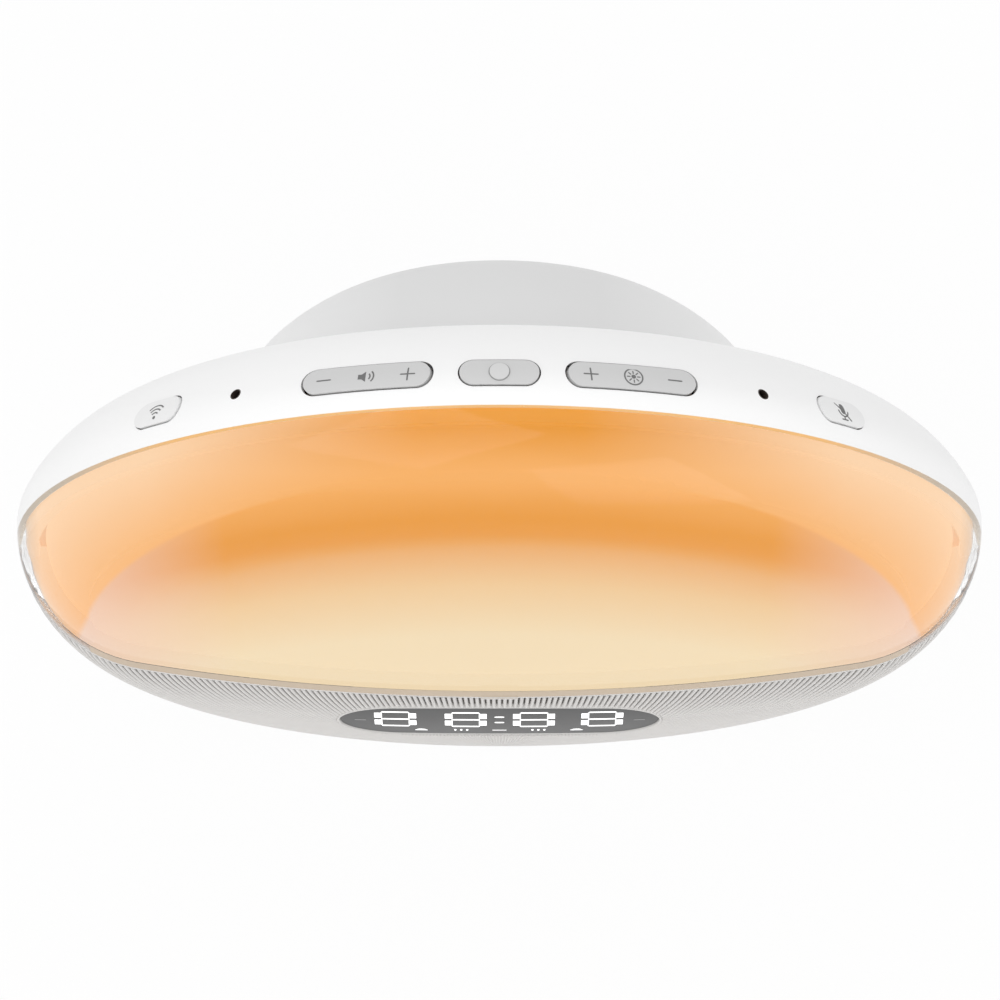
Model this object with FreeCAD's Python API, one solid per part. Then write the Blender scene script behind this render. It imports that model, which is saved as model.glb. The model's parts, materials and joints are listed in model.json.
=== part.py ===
"""Sunrise alarm clock: an upright lit disc with a ribbed speaker front and buttons along its top."""
import FreeCAD, Part
import math
import os

from FreeCAD import Rotation, Vector

# Lengths are in millimetres and angles in degrees.
# Pieces are drawn about the centre of the disc: Y is the disc's axis, the front looks along -Y, Z is up.
# Each piece is moved at the end, so that the clock stands on Z = 0 with its box centred on X and Y.

# The disc, front and back
DISC_RADIUS = 110.0
FRONT_DEPTH = 31.2
FRONT_EDGE_RADIUS = 28.5
REAR_DEPTH = 23.4
REAR_EDGE_RADIUS = 12.0
REAR_EDGE_TURN = 27.4
WALL = 2.4
SEAM_Y = -2.6

# The domed hub behind the disc
HUB_RADIUS = 61.3
HUB_BACK = 60.1
HUB_EDGE_RADIUS = 27.0
HUB_EDGE_TURN = 46.0
HUB_SHOULDER_RADIUS = 52.0
HUB_LIP = 3.0
SEAT_GAP = 0.1

# The base that the clock stands on
BASE_CUT = 16.0
BASE_DROP = DISC_RADIUS - BASE_CUT
BASE_HEIGHT = 6.0
BASE_FLOOR = 2.0
FOOT_LENGTH = 88.0
FOOT_WIDTH = 30.0
FOOT_THICKNESS = 2.5
FOOT_RECESS = 1.0
FOOT_Y = -2.0
BASE_SCREW_X = 30.0
BASE_SCREW_BACK = 4.0
BASE_SCREW_LENGTH = 9.0
BASE_BOSS_HEIGHT = 8.0

# The curved seam between the lit face and the speaker grille
SEAM_ARC_RADIUS = 215.0
SEAM_RISE = 80.3
SEAM_LOW = DISC_RADIUS - SEAM_RISE
SEAM_GAP = 0.2

# The lit face
LENS_WALL = 2.0
DIFFUSER_INSET = 6.5
DIFFUSER_WALL = 1.5
STEP_INSET = 17.0
STEP_RADIUS = DISC_RADIUS - STEP_INSET
STEP_RISE = 0.8
STEP_LIFT = 5.0
SHELF_WALL = 1.6
SEAL_WIDTH = 3.0
LIGHT_BOARD_INSET = 24.0
LIGHT_BOARD_RADIUS = DISC_RADIUS - LIGHT_BOARD_INSET
BOARD_WALL = 1.6
CHIP_SIZE = 5.0
CHIP_HEIGHT = 1.4
CHIP_ROWS = ((8.0, 13), (30.0, 11), (54.0, 7))
CHIP_ROW_SWEEP = 150.0
BOARD_SCREWS = ((9.6, 43.0), (18.0, 95.0))
BOARD_SCREW_LENGTH = 6.5

# The speaker grille and its ribs
GRILLE_WALL = 2.0
RIB_PITCH = 2.8
SLOT_WIDTH = 1.3
RIB_POLE_RISE = 20.0
RIB_POLE_DROP = DISC_RADIUS - RIB_POLE_RISE
SLOT_BOTTOM_RISE = 10.0
SLOT_BOTTOM = RIB_POLE_DROP - SLOT_BOTTOM_RISE
SLOT_SIDE_MARGIN = 6.0
SLOT_MARGIN = 1.6
MESH_GAP = 0.1
MESH_WALL = 0.5

# The display
WINDOW_LENGTH = 74.5
WINDOW_HEIGHT = 28.5
WINDOW_RISE = 53.0
WINDOW_DROP = DISC_RADIUS - WINDOW_RISE
WINDOW_GAP = 0.3
WINDOW_INSET = 0.3
WINDOW_WALL = 2.0
DISPLAY_LENGTH = 64.0
DISPLAY_HEIGHT = 22.0
MASK_BACK_SET = 4.6
MASK_FRONT = MASK_BACK_SET - FRONT_DEPTH
MASK_WALL = 1.0
BLOCK_DEPTH = 7.0
DIGIT_WIDTH = 10.0
DIGIT_HEIGHT = 17.0
DIGIT_LIFT = 1.7
DIGIT_DROP = WINDOW_DROP - DIGIT_LIFT
DIGIT_PLACES = (-24.4, -7.9, 8.1, 24.1)
SEGMENT_WIDTH = 2.0
SEGMENT_GAP = 0.5
HOLDER_WALL = 1.8
HOLDER_SLOT = 4.0
LEG_RADIUS = 2.5

# The chassis plate, its posts and screws
CHASSIS_FRONT = -2.5
CHASSIS_WALL = 2.5
CHASSIS_GAP = 1.0
CHASSIS_RADIUS = DISC_RADIUS - WALL - CHASSIS_GAP
BOSS_RING_INSET = 12.0
BOSS_RING = DISC_RADIUS - BOSS_RING_INSET
BOSS_RADIUS = 3.4
BOSS_ANGLES = (62.0, 100.0, 148.0, -62.0, -100.0, -148.0)
POST_SPREAD = 31.0
POST_RADIUS = 4.0
PILLAR_RADIUS = 2.5
SCREW_RADIUS = 1.5
SCREW_FIT = 0.05
HEAD_RADIUS = 2.8
HEAD_HEIGHT = 1.8
SMALL_BOSS_HEIGHT = 4.0
SMALL_BOSS_BORE = 3.0
SPEAKER_BOSS_RADIUS = 2.4
CHASSIS_SCREW_LENGTH = 11.0
COVER_SCREW_LENGTH = 14.0
RIBBON_HOLE = 1.5

# The main board in the hub
MAIN_BOARD_BACK_SET = 6.6
MAIN_BOARD_Y = REAR_DEPTH + MAIN_BOARD_BACK_SET
MAIN_BOARD_GAP = 11.3
MAIN_BOARD_RADIUS = HUB_RADIUS - MAIN_BOARD_GAP
MAIN_BOARD_CUT = 4.0
MAIN_BOARD_FLAT = MAIN_BOARD_RADIUS - MAIN_BOARD_CUT
WELL_RADIUS = 5.5
WELL_BORE = 3.6
WELL_FLOOR = 2.0
INLET_WIDTH = 9.0
INLET_DEPTH = 9.0
INLET_LENGTH = 13.0
INLET_OVERLAP = 8.0
INLET_BORE = 2.75
INLET_PIN = 1.0
INLET_END = 3.0
INLET_PIN_RECESS = 1.0
INLET_DOOR = 5.6
SHIELD_PLACE = (-14.0, 6.0)
SHIELD_SIZE = (24.0, 24.0, 3.0)
RADIO_PLACE = (16.0, 24.0)
RADIO_SIZE = (18.0, 26.0, 3.2)
ANTENNA_LENGTH = 34.0
ANTENNA_WIDTH = 8.0
ANTENNA_WALL = 0.6
ANTENNA_DROP = 16.0
VENT_COUNT = 7
VENT_PITCH = 5.0
VENT_WIDTH = 2.0
VENT_LONGEST = 34.0

# Loudspeakers
SPEAKER_SIDE_INSET = 50.0
SPEAKER_X = DISC_RADIUS - SPEAKER_SIDE_INSET
SPEAKER_RISE = 60.0
SPEAKER_DROP = DISC_RADIUS - SPEAKER_RISE
SPEAKER_RADIUS = 17.0
FLANGE_RADIUS = 21.5
FLANGE_WALL = 1.8
SPEAKER_SCREW_RING = 19.3
BASKET_DEPTH = 9.0
MAGNET_RADIUS = 10.5
MAGNET_DEPTH = 7.0
GASKET_WALL = 1.5
GASKET_WIDTH = 1.0
SPEAKER_SCREW_ANGLES = (45, 135, 225, 315)
SPEAKER_SCREW_LENGTH = 6.5
BASKET_WALL = 1.0
BASKET_INSET = 0.5
ROLL_GAP = 0.1
ROLL_WIDTH = 2.4
ROLL_DEPTH = 1.0
CONE_DEPTH = 5.0
CONE_WALL = 0.8
CONE_TAPER = 7.0
DOME_OVERLAP = 0.2

# Buttons along the top
BUTTON_Y = 5.0
BUTTON_WIDTH = 6.2
BUTTON_PROUD = 0.5
BUTTON_GAP = 0.35
ROCKER_LENGTH = 28.4
ROCKER_ANGLE = 15.3
ROCKER_END_GAP = 0.65
CENTRE_LENGTH = 17.2
SIDE_LENGTH = 13.4
SIDE_ANGLE = 43.3
DOT_RADIUS = 2.1
DOT_RISE = 0.5
CAP_DEPTH = 8.8
CAP_FLOOR = DISC_RADIUS - CAP_DEPTH
FLANGE_WALL_RADIAL = 1.2
FLANGE_TOP = CAP_FLOOR + FLANGE_WALL_RADIAL
FLANGE_GROWTH = 1.0
STEM_RADIUS = 1.6
STEM_LENGTH = 5.8
STEM_END = CAP_FLOOR - STEM_LENGTH
STEM_SPREAD = 9.5
PIVOT_DEPTH = 3.7
PIVOT_HEIGHT = CAP_FLOOR - PIVOT_DEPTH
PIN_RADIUS = 1.0
PIN_FIT = 0.05
PIVOT_BOSS = 2.2
MIC_ANGLE = 31.7
MIC_HOLE = 1.1

# The bracket under the buttons
BRACKET_TOP_GAP = 1.2
BRACKET_TOP = CAP_FLOOR - BRACKET_TOP_GAP
BRACKET_HEIGHT = 14.0
BRACKET_FLOOR = BRACKET_TOP - BRACKET_HEIGHT
BRACKET_WALL = 1.4
BRACKET_DEPTH = 10.0
BRACKET_SWEEP = 49.0
FLEX_WALL = 0.6
SWITCH_SIZE = 6.0
PLUNGER_HEIGHT = 1.6
SWITCH_SUNK = 1.0
PLUNGER_RADIUS = 1.7
PLUNGER_GAP = 0.95
SEAL_RADIUS = 2.6
MIC_SIZE = 3.6
MIC_HEIGHT = 1.2

RIBBON_WALL = 0.4
RIBBON_WIDTH = 12.0
RIBBON_SLACK = 1.0
LIGHT_RIBBON_Z = 10.0
LIGHT_RIBBON_RISE = 8.0
RIBBON_STRAIGHT = 6.0
RIBBON_BEND = 10.0
BUTTON_RIBBON_BACK = 3.5
BUTTON_RIBBON_Z = 40.0
REACH = 300.0

AXIS = Vector(0, 1, 0)
ORIGIN = Vector(0, 0, 0)
MID_Y = (HUB_BACK - FRONT_DEPTH) / 2
CENTRE_HEIGHT = BASE_DROP + FOOT_THICKNESS - FOOT_RECESS
CHASSIS_BACK = CHASSIS_FRONT + CHASSIS_WALL
BASE_TOP = BASE_HEIGHT - BASE_DROP
SEAM_CENTRE = SEAM_ARC_RADIUS - SEAM_LOW
MAIN_BOARD_BACK = MAIN_BOARD_Y + BOARD_WALL


def save(node, shape):
    """Move a piece from the disc's centre to its place on the table, and write it."""
    placed = shape.copy()
    placed.translate(Vector(0, -MID_Y, CENTRE_HEIGHT))
    placed.exportStep("parts/" + node + ".step")
    print(node, len(placed.Solids), "solids", round(placed.Volume, 1), "valid", placed.isValid())


def tangent_arcs(start_radius, arcs):
    """A chain of tangent arcs from a rim, as centre depth, centre radius, arc radius and two turns."""
    chain = []
    depth = 0.0
    centre = start_radius - arcs[0][0]
    turn = 0.0
    last = arcs[0][0]
    for radius, sweep in arcs:
        depth += (last - radius) * math.sin(turn)
        centre += (last - radius) * math.cos(turn)
        chain.append((depth, centre, radius, turn, turn + math.radians(sweep)))
        turn += math.radians(sweep)
        last = radius
    return chain


def dome_arcs(start_radius, height, arcs, last_radius):
    """Tangent arcs that close in a dome of the given height, the last one centred on the axis."""
    used = sum(sweep for radius, sweep in arcs)
    depth, centre, radius, turn, end = tangent_arcs(start_radius, arcs + [(last_radius, 0.0)])[-1]
    rise = height - depth
    crown = (rise ** 2 + centre ** 2 - radius ** 2) / (2 * (rise - radius))
    close = math.degrees(math.atan2(crown - rise, centre))
    return tangent_arcs(start_radius, arcs + [(last_radius, close - used), (crown, 90 - close)])


def arc_edges(chain, inset, start_y, way):
    """The arcs as edges, offset inwards by inset, going way (-1 forwards, 1 backwards) from start_y."""
    edges = []
    for depth, centre, radius, start, end in chain:
        points = []
        for turn in (start, (start + end) / 2, end):
            y = start_y + way * (depth + (radius - inset) * math.sin(turn))
            points.append(Vector(0, y, centre + (radius - inset) * math.cos(turn)))
        edges.append(Part.Arc(*points).toShape())
    return edges


def last_point(edges):
    """Where a chain of edges ends, as (y, radius)."""
    point = edges[-1].Vertexes[-1].Point
    return point.y, point.z


def line(a, b):
    """A straight edge between two (y, radius) points."""
    return Part.makeLine(Vector(0, a[0], a[1]), Vector(0, b[0], b[1]))


def revolve(edges):
    """Turn a closed half profile round the disc's axis."""
    return Part.Face(Part.Wire(Part.__sortEdges__(edges))).revolve(ORIGIN, AXIS, 360)


def disc(inset):
    """The whole disc as a solid, with its surface moved inwards by inset."""
    front = dome_arcs(DISC_RADIUS, FRONT_DEPTH, [], FRONT_EDGE_RADIUS)
    rear_turn = math.radians(REAR_EDGE_TURN)
    shoulder = (REAR_DEPTH - REAR_EDGE_RADIUS * math.sin(rear_turn)) / (1 - math.sin(rear_turn))
    rear = tangent_arcs(
        DISC_RADIUS, [(REAR_EDGE_RADIUS, REAR_EDGE_TURN), (shoulder, 90 - REAR_EDGE_TURN)]
    )
    front_edges = arc_edges(front, inset, 0.0, -1)
    rear_edges = arc_edges(rear, inset, 0.0, 1)
    nose = (inset - FRONT_DEPTH, 0)
    flat = (REAR_DEPTH - inset, last_point(rear_edges)[1])
    return revolve(front_edges + rear_edges + [line(flat, (flat[0], 0)), line((flat[0], 0), nose)])


def hub(inset):
    """The hub dome as a solid from inside the disc to its back."""
    height = HUB_BACK - REAR_DEPTH
    chain = dome_arcs(HUB_RADIUS, height, [(HUB_EDGE_RADIUS, HUB_EDGE_TURN)], HUB_SHOULDER_RADIUS)
    dome = arc_edges(chain, inset, REAR_DEPTH, 1)
    foot = (REAR_DEPTH, HUB_RADIUS - inset)
    back = (HUB_BACK - inset, 0)
    inner = REAR_DEPTH - WALL
    return revolve(dome + [
        line(back, (inner, 0)),
        line((inner, 0), (inner, foot[1])),
        line((inner, foot[1]), foot),
    ])


def box(low, high):
    """A box between two corners."""
    return Part.makeBox(high[0] - low[0], high[1] - low[1], high[2] - low[2], Vector(*low))


def rod(radius, start, end, x=0.0, z=0.0):
    """A rod along the disc's axis from y = start to y = end."""
    return Part.makeCylinder(radius, end - start, Vector(x, start, z), AXIS)


def ring(outer, inner, start, end, x=0.0, z=0.0):
    """A tube along the disc's axis."""
    return rod(outer, start, end, x, z).cut(rod(inner, start, end, x, z))


def fuse(shapes):
    """One solid from touching shapes, with its leftover edges removed."""
    return shapes[0].multiFuse(shapes[1:]).removeSplitter()


def turned(shape, angle):
    """A shape built at the top of the disc, turned clockwise to another angle seen from the front."""
    copy = shape.copy()
    copy.Placement = FreeCAD.Placement(ORIGIN, Rotation(AXIS, angle)).multiply(copy.Placement)
    return copy


def polar(radius, angle):
    """The x and z of a point of the disc, from the top clockwise."""
    turn = math.radians(angle)
    return radius * math.sin(turn), radius * math.cos(turn)


def pill(length, width):
    """A face with round ends, centred on the origin of the XY plane."""
    r = width / 2
    half = length / 2 - r
    top = Part.makeLine(Vector(-half, r, 0), Vector(half, r, 0))
    right = Part.Arc(Vector(half, r, 0), Vector(half + r, 0, 0), Vector(half, -r, 0)).toShape()
    low = Part.makeLine(Vector(half, -r, 0), Vector(-half, -r, 0))
    left = Part.Arc(Vector(-half, -r, 0), Vector(-half - r, 0, 0), Vector(-half, r, 0)).toShape()
    return Part.Face(Part.Wire([top, right, low, left]))


def upright_pill(length, width, low, high, y=BUTTON_Y):
    """A pill standing radially at the top of the disc, from height low to height high."""
    face = pill(length, width)
    face.translate(Vector(0, y, low))
    return face.extrude(Vector(0, 0, high - low))


def facing_pill(length, height, drop, start, end):
    """A pill that faces the front, below the disc's centre, from y = start to y = end."""
    face = pill(length, height)
    face.rotate(ORIGIN, Vector(1, 0, 0), 90)
    face.translate(Vector(0, start, -drop))
    return face.extrude(Vector(0, end - start, 0))


def above_seam(offset):
    """Everything above the arc that parts the lit face from the grille, raised by offset."""
    return Part.makeCylinder(SEAM_ARC_RADIUS - offset, REACH, Vector(0, -REACH / 2, SEAM_CENTRE), AXIS)


def before(y):
    """Everything in front of a plane across the disc's axis."""
    return box((-REACH, -REACH, -REACH), (REACH, y, REACH))


def over(z):
    """Everything above a level plane."""
    return box((-REACH, -REACH, z), (REACH, REACH, REACH))


OUTER = disc(0)
INNER = disc(WALL)
HUB_OUTER = hub(0)


def screw(length, radius=SCREW_RADIUS):
    """A pan-headed screw with its head's seat at the origin, its shank along +Y."""
    head = rod(HEAD_RADIUS, -HEAD_HEIGHT, 0)
    shank = rod(radius, 0, length)
    return fuse([head, shank])


def screws(places, length):
    """Equal screws pointing along +Y, with their heads' seats at the places (x, y, z)."""
    group = []
    for place in places:
        one = screw(length)
        one.translate(Vector(*place))
        group.append(one)
    return Part.makeCompound(group)


# Button caps

def button_cap(length, stems):
    """A cap that follows the rim, with a flange that keeps it in and stems that press the switches."""
    cap = upright_pill(length, BUTTON_WIDTH, CAP_FLOOR, DISC_RADIUS + BUTTON_WIDTH)
    cap = cap.common(disc(-BUTTON_PROUD))
    flange = upright_pill(length + 2 * FLANGE_GROWTH, BUTTON_WIDTH + FLANGE_GROWTH, CAP_FLOOR, FLANGE_TOP)
    parts = [cap, flange]
    for x in stems:
        height = CAP_FLOOR - STEM_END
        parts.append(Part.makeCylinder(STEM_RADIUS, height, Vector(x, BUTTON_Y, STEM_END)))
    return fuse(parts)


def rocker():
    """A rocker cap with a pivot boss between its two stems."""
    cap = button_cap(ROCKER_LENGTH, (-STEM_SPREAD, STEM_SPREAD))
    half = BUTTON_WIDTH / 2 - BUTTON_GAP
    start = BUTTON_Y - half
    end = BUTTON_Y + half
    boss = rod(PIVOT_BOSS, start, end, 0, PIVOT_HEIGHT)
    web = box((-PIVOT_BOSS, start, PIVOT_HEIGHT), (PIVOT_BOSS, end, CAP_FLOOR))
    body = fuse([cap, boss, web])
    return body.cut(rod(PIN_RADIUS + PIN_FIT, start, end, 0, PIVOT_HEIGHT))


def centre_button():
    """The middle button with its round raised dot."""
    cap = button_cap(CENTRE_LENGTH, (0,))
    dot = Part.makeCylinder(DOT_RADIUS, DISC_RADIUS, Vector(0, BUTTON_Y, CAP_FLOOR))
    dot = dot.common(disc(-BUTTON_PROUD - DOT_RISE))
    return fuse([cap, dot])


def button_holes():
    """The openings in the rim for the five buttons and the two microphones."""
    low = CAP_FLOOR
    high = DISC_RADIUS + BUTTON_WIDTH
    width = BUTTON_WIDTH + 2 * BUTTON_GAP
    rocker_hole = upright_pill(ROCKER_LENGTH + 2 * ROCKER_END_GAP, width, low, high)
    centre_hole = upright_pill(CENTRE_LENGTH + 2 * BUTTON_GAP, width, low, high)
    side_hole = upright_pill(SIDE_LENGTH + 2 * BUTTON_GAP, width, low, high)
    mic_hole = Part.makeCylinder(MIC_HOLE, high - low, Vector(0, BUTTON_Y, low))
    holes = [centre_hole]
    for side in (-1, 1):
        holes.append(turned(rocker_hole, side * ROCKER_ANGLE))
        holes.append(turned(side_hole, side * SIDE_ANGLE))
        holes.append(turned(mic_hole, side * MIC_ANGLE))
    return holes


# Housing

def boss_places():
    """Where the chassis is screwed to the rim housing."""
    return [polar(BOSS_RING, angle) for angle in BOSS_ANGLES]


def rim_housing():
    """The white shell from the seam to the back, open at the front, the hub and the base."""
    shell = OUTER.cut(INNER).cut(before(SEAM_Y)).common(over(BASE_TOP))
    shell = shell.cut(rod(HUB_RADIUS - HUB_LIP, 0, HUB_BACK))
    bosses = []
    for x, z in boss_places():
        boss = rod(BOSS_RADIUS, CHASSIS_BACK, REAR_DEPTH, x, z)
        bosses.append(boss.common(OUTER))
    shell = fuse([shell] + bosses)
    cuts = [rod(SCREW_RADIUS + SCREW_FIT, CHASSIS_BACK, REAR_DEPTH / 2, x, z) for x, z in boss_places()]
    return shell.cut(Part.makeCompound(cuts + button_holes()))


def rear_cover():
    """The grey hub dome: two screw wells below, two blind tubes above, vents and the inlet's opening."""
    cavity = hub(WALL)
    shell = HUB_OUTER.cut(cavity).cut(before(REAR_DEPTH))
    plug_radius = HUB_RADIUS - HUB_LIP - SEAT_GAP
    plug = ring(plug_radius, plug_radius - WALL, REAR_DEPTH - WALL, REAR_DEPTH)
    land = ring(HUB_RADIUS - WALL / 2, plug_radius - WALL, REAR_DEPTH, REAR_DEPTH + WALL)
    parts = [shell, plug, land]
    wells = []
    for x, z in post_places():
        tube = rod(WELL_RADIUS, MAIN_BOARD_BACK, HUB_BACK, x, z)
        parts.append(tube.common(HUB_OUTER))
        floor_y = MAIN_BOARD_BACK + WELL_FLOOR
        wells.append(rod(PILLAR_RADIUS + SEAT_GAP, MAIN_BOARD_BACK, floor_y, x, z))
        if z < 0:
            wells.append(rod(SCREW_RADIUS + SCREW_FIT, floor_y, floor_y + WELL_FLOOR, x, z))
            wells.append(rod(WELL_BORE, floor_y + WELL_FLOOR, HUB_BACK, x, z))
    door_y = MAIN_BOARD_BACK + INLET_DEPTH / 2
    door = Part.makeCylinder(INLET_DOOR, HUB_RADIUS / 2, Vector(0, door_y, -HUB_RADIUS))
    return fuse(parts).cut(Part.makeCompound(wells + [door] + vent_slots()))


def vent_slots():
    """A round patch of level slots in the back of the hub."""
    slots = []
    patch = (VENT_COUNT + 1) * VENT_PITCH
    for i in range(VENT_COUNT):
        rise = (i - (VENT_COUNT - 1) / 2) * VENT_PITCH
        length = VENT_LONGEST * math.sqrt(1 - (2 * rise / patch) ** 2)
        slots.append(facing_pill(length, VENT_WIDTH, -rise, HUB_BACK - 2 * WALL, HUB_BACK + WALL))
    return slots


def base_plate():
    """The slab under the disc: a tray with the disc's outline, recessed for the rubber foot."""
    low = -BASE_DROP
    slab = OUTER.common(box((-REACH, -REACH, low), (REACH, REACH, BASE_TOP)))
    hollow = INNER.common(box((-REACH, -REACH, low + BASE_FLOOR), (REACH, REACH, BASE_TOP)))
    bosses = [
        Part.makeCylinder(BOSS_RADIUS, BASE_HEIGHT, Vector(x, y, low)) for x, y in base_screw_places()
    ]
    recess = flat_pill(FOOT_LENGTH + SEAT_GAP, FOOT_WIDTH + SEAT_GAP, low, low + FOOT_RECESS)
    body = fuse([slab.cut(hollow)] + bosses)
    holes = [
        Part.makeCylinder(SCREW_RADIUS + SCREW_FIT, BASE_HEIGHT, Vector(x, y, low))
        for x, y in base_screw_places()
    ]
    sinks = [
        Part.makeCylinder(HEAD_RADIUS + SEAT_GAP, FOOT_RECESS + HEAD_HEIGHT, Vector(x, y, low))
        for x, y in base_screw_places()
    ]
    return body.cut(Part.makeCompound([recess] + holes + sinks))


def base_screw_places():
    """Where the base plate is screwed up into the chassis."""
    return [(side * BASE_SCREW_X, CHASSIS_BACK + BASE_SCREW_BACK) for side in (-1, 1)]


def flat_pill(length, width, low, high):
    """A pill lying level under the clock."""
    return upright_pill(length, width, low, high, FOOT_Y)


def rubber_foot():
    """The pad that the clock stands on."""
    low = -BASE_DROP + FOOT_RECESS - FOOT_THICKNESS
    return flat_pill(FOOT_LENGTH, FOOT_WIDTH, low, low + FOOT_THICKNESS)


def base_screws():
    """Two screws up through the base plate."""
    seat = -BASE_DROP + FOOT_RECESS + HEAD_HEIGHT
    group = []
    for x, y in base_screw_places():
        one = screw(BASE_SCREW_LENGTH)
        one.rotate(ORIGIN, Vector(1, 0, 0), 90)
        one.translate(Vector(x, y, seat))
        group.append(one)
    return Part.makeCompound(group)


# The lit face

def front_lens():
    """The clear cover of the lit face."""
    shell = OUTER.cut(disc(LENS_WALL)).common(before(SEAM_Y))
    return shell.common(above_seam(SEAM_GAP / 2))


def lens_seal():
    """A soft ring that keeps light in at the seam."""
    outer = DISC_RADIUS - LENS_WALL - SEAT_GAP
    band = ring(outer, outer - SEAL_WIDTH, SEAM_Y - SEAL_WIDTH, SEAM_Y)
    band = band.common(disc(LENS_WALL + SEAT_GAP))
    return band.common(above_seam(SHELF_WALL + SEAM_GAP))


def diffuser():
    """The opal inner dome, with a raised round panel."""
    top = disc(DIFFUSER_INSET)
    under = disc(DIFFUSER_INSET + DIFFUSER_WALL)
    panel = rod(STEP_RADIUS, -REACH, 0, 0, STEP_LIFT).common(disc(DIFFUSER_INSET - STEP_RISE))
    body = top.fuse(panel).cut(under)
    body = body.common(before(CHASSIS_FRONT))
    return body.common(above_seam(SHELF_WALL)).removeSplitter()


def light_shelf():
    """The white shelf that parts the light chamber from the speakers."""
    band = above_seam(SEAM_GAP).cut(above_seam(SHELF_WALL - SEAM_GAP))
    return band.common(disc(LENS_WALL + SEAT_GAP)).common(before(SEAM_Y))


def light_board():
    """The round board that carries the lights, cut off above the shelf."""
    board = rod(LIGHT_BOARD_RADIUS, CHASSIS_FRONT - BOARD_WALL, CHASSIS_FRONT)
    board = board.common(above_seam(2 * SHELF_WALL))
    holes = [rod(SCREW_RADIUS + SCREW_FIT, -REACH, REACH, x, z) for x, z in board_screw_places()]
    return board.cut(Part.makeCompound(holes))


def board_screw_places():
    """Where the light board is screwed to the chassis."""
    return [
        polar(LIGHT_BOARD_RADIUS - inset, side * angle) for inset, angle in BOARD_SCREWS for side in (-1, 1)
    ]


def light_chips():
    """Arcs of light-emitting chips on the light board."""
    front = CHASSIS_FRONT - BOARD_WALL - CHIP_HEIGHT
    half = CHIP_SIZE / 2
    chips = []
    for inset, count in CHIP_ROWS:
        radius = LIGHT_BOARD_RADIUS - inset
        for i in range(count):
            angle = CHIP_ROW_SWEEP * (i / (count - 1) - 0.5)
            chip = box((-half, front, radius - half), (half, front + CHIP_HEIGHT, radius + half))
            chips.append(turned(chip, angle))
    return Part.makeCompound(chips)


# The grille

def rib_slot(centre):
    """One slot as a tapering prism between two arcs that bend towards the ribs' pole."""
    edges = []
    ends = []
    for x in (centre - SLOT_WIDTH / 2, centre + SLOT_WIDTH / 2):
        sides = []
        for z in (0.0, -SLOT_BOTTOM / 2, -SLOT_BOTTOM):
            sides.append(Vector(x * math.sqrt(1 - (z / RIB_POLE_DROP) ** 2), -REACH / 2, z))
        edges.append(Part.Arc(*sides).toShape())
        ends.append((sides[0], sides[-1]))
    top = Part.makeLine(ends[0][0], ends[1][0])
    low = Part.makeLine(ends[0][1], ends[1][1])
    face = Part.Face(Part.Wire(Part.__sortEdges__([edges[0], top, edges[1], low])))
    return face.extrude(Vector(0, REACH / 2 + SEAM_Y - SLOT_MARGIN, 0))


def rib_slots():
    """All the slots, cut short at the seam, the window and the rim."""
    count = int((DISC_RADIUS - SLOT_SIDE_MARGIN) / RIB_PITCH)
    slots = Part.makeCompound([rib_slot(i * RIB_PITCH) for i in range(-count, count + 1)])
    slots = slots.cut(above_seam(-SLOT_MARGIN))
    frame = facing_pill(
        WINDOW_LENGTH + 2 * SLOT_MARGIN, WINDOW_HEIGHT + 2 * SLOT_MARGIN, WINDOW_DROP, -REACH, REACH
    )
    return slots.cut(frame)


def lower_shell(outer, inner):
    """The shell between two insets, under the seam, over the base and in front of the housing."""
    shell = disc(outer).cut(disc(inner)).common(before(SEAM_Y)).common(over(BASE_TOP))
    return shell.cut(above_seam(-SEAM_GAP / 2))


def speaker_grille():
    """The ribbed lower front with its tapering slots and the display's opening."""
    shell = lower_shell(0, GRILLE_WALL)
    opening = facing_pill(
        WINDOW_LENGTH + 2 * WINDOW_GAP, WINDOW_HEIGHT + 2 * WINDOW_GAP, WINDOW_DROP, -REACH, 0
    )
    return shell.cut(opening).cut(rib_slots())


def speaker_mesh():
    """The dark perforated skin behind the ribs."""
    outer = GRILLE_WALL + MESH_GAP
    shell = lower_shell(outer, outer + MESH_WALL)
    opening = facing_pill(
        WINDOW_LENGTH + 2 * WINDOW_GAP, WINDOW_HEIGHT + 2 * WINDOW_GAP, WINDOW_DROP, -REACH, 0
    )
    return shell.cut(opening).common(over(BASE_TOP + MESH_GAP))


# The display

def display_window():
    """The dark window, flush in the grille."""
    blank = facing_pill(WINDOW_LENGTH, WINDOW_HEIGHT, WINDOW_DROP, -REACH, 0)
    return blank.common(disc(WINDOW_INSET)).cut(disc(WINDOW_INSET + WINDOW_WALL))


def segment(length, x, z, upright):
    """One pointed bar of a digit as a prism along the disc's axis."""
    half = length / 2
    r = SEGMENT_WIDTH / 2
    outline = [(-half, 0), (r - half, r), (half - r, r), (half, 0), (half - r, -r), (r - half, -r)]
    points = []
    for a, b in outline:
        if upright:
            a, b = b, a
        points.append(Vector(x + a, MASK_FRONT - MASK_WALL, z + b))
    face = Part.Face(Part.makePolygon(points + points[:1]))
    return face.extrude(Vector(0, 3 * MASK_WALL, 0))


def digit(x):
    """The seven bars of a digit."""
    across = (DIGIT_WIDTH - SEGMENT_WIDTH) / 2
    rise = (DIGIT_HEIGHT - SEGMENT_WIDTH) / 2
    wide = DIGIT_WIDTH - SEGMENT_WIDTH - SEGMENT_GAP
    tall = rise - SEGMENT_GAP
    bars = [segment(wide, x, -DIGIT_DROP + k * rise, False) for k in (-1, 0, 1)]
    for side in (-1, 1):
        for k in (-0.5, 0.5):
            bars.append(segment(tall, x + side * across, -DIGIT_DROP + k * rise, True))
    return bars


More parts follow.
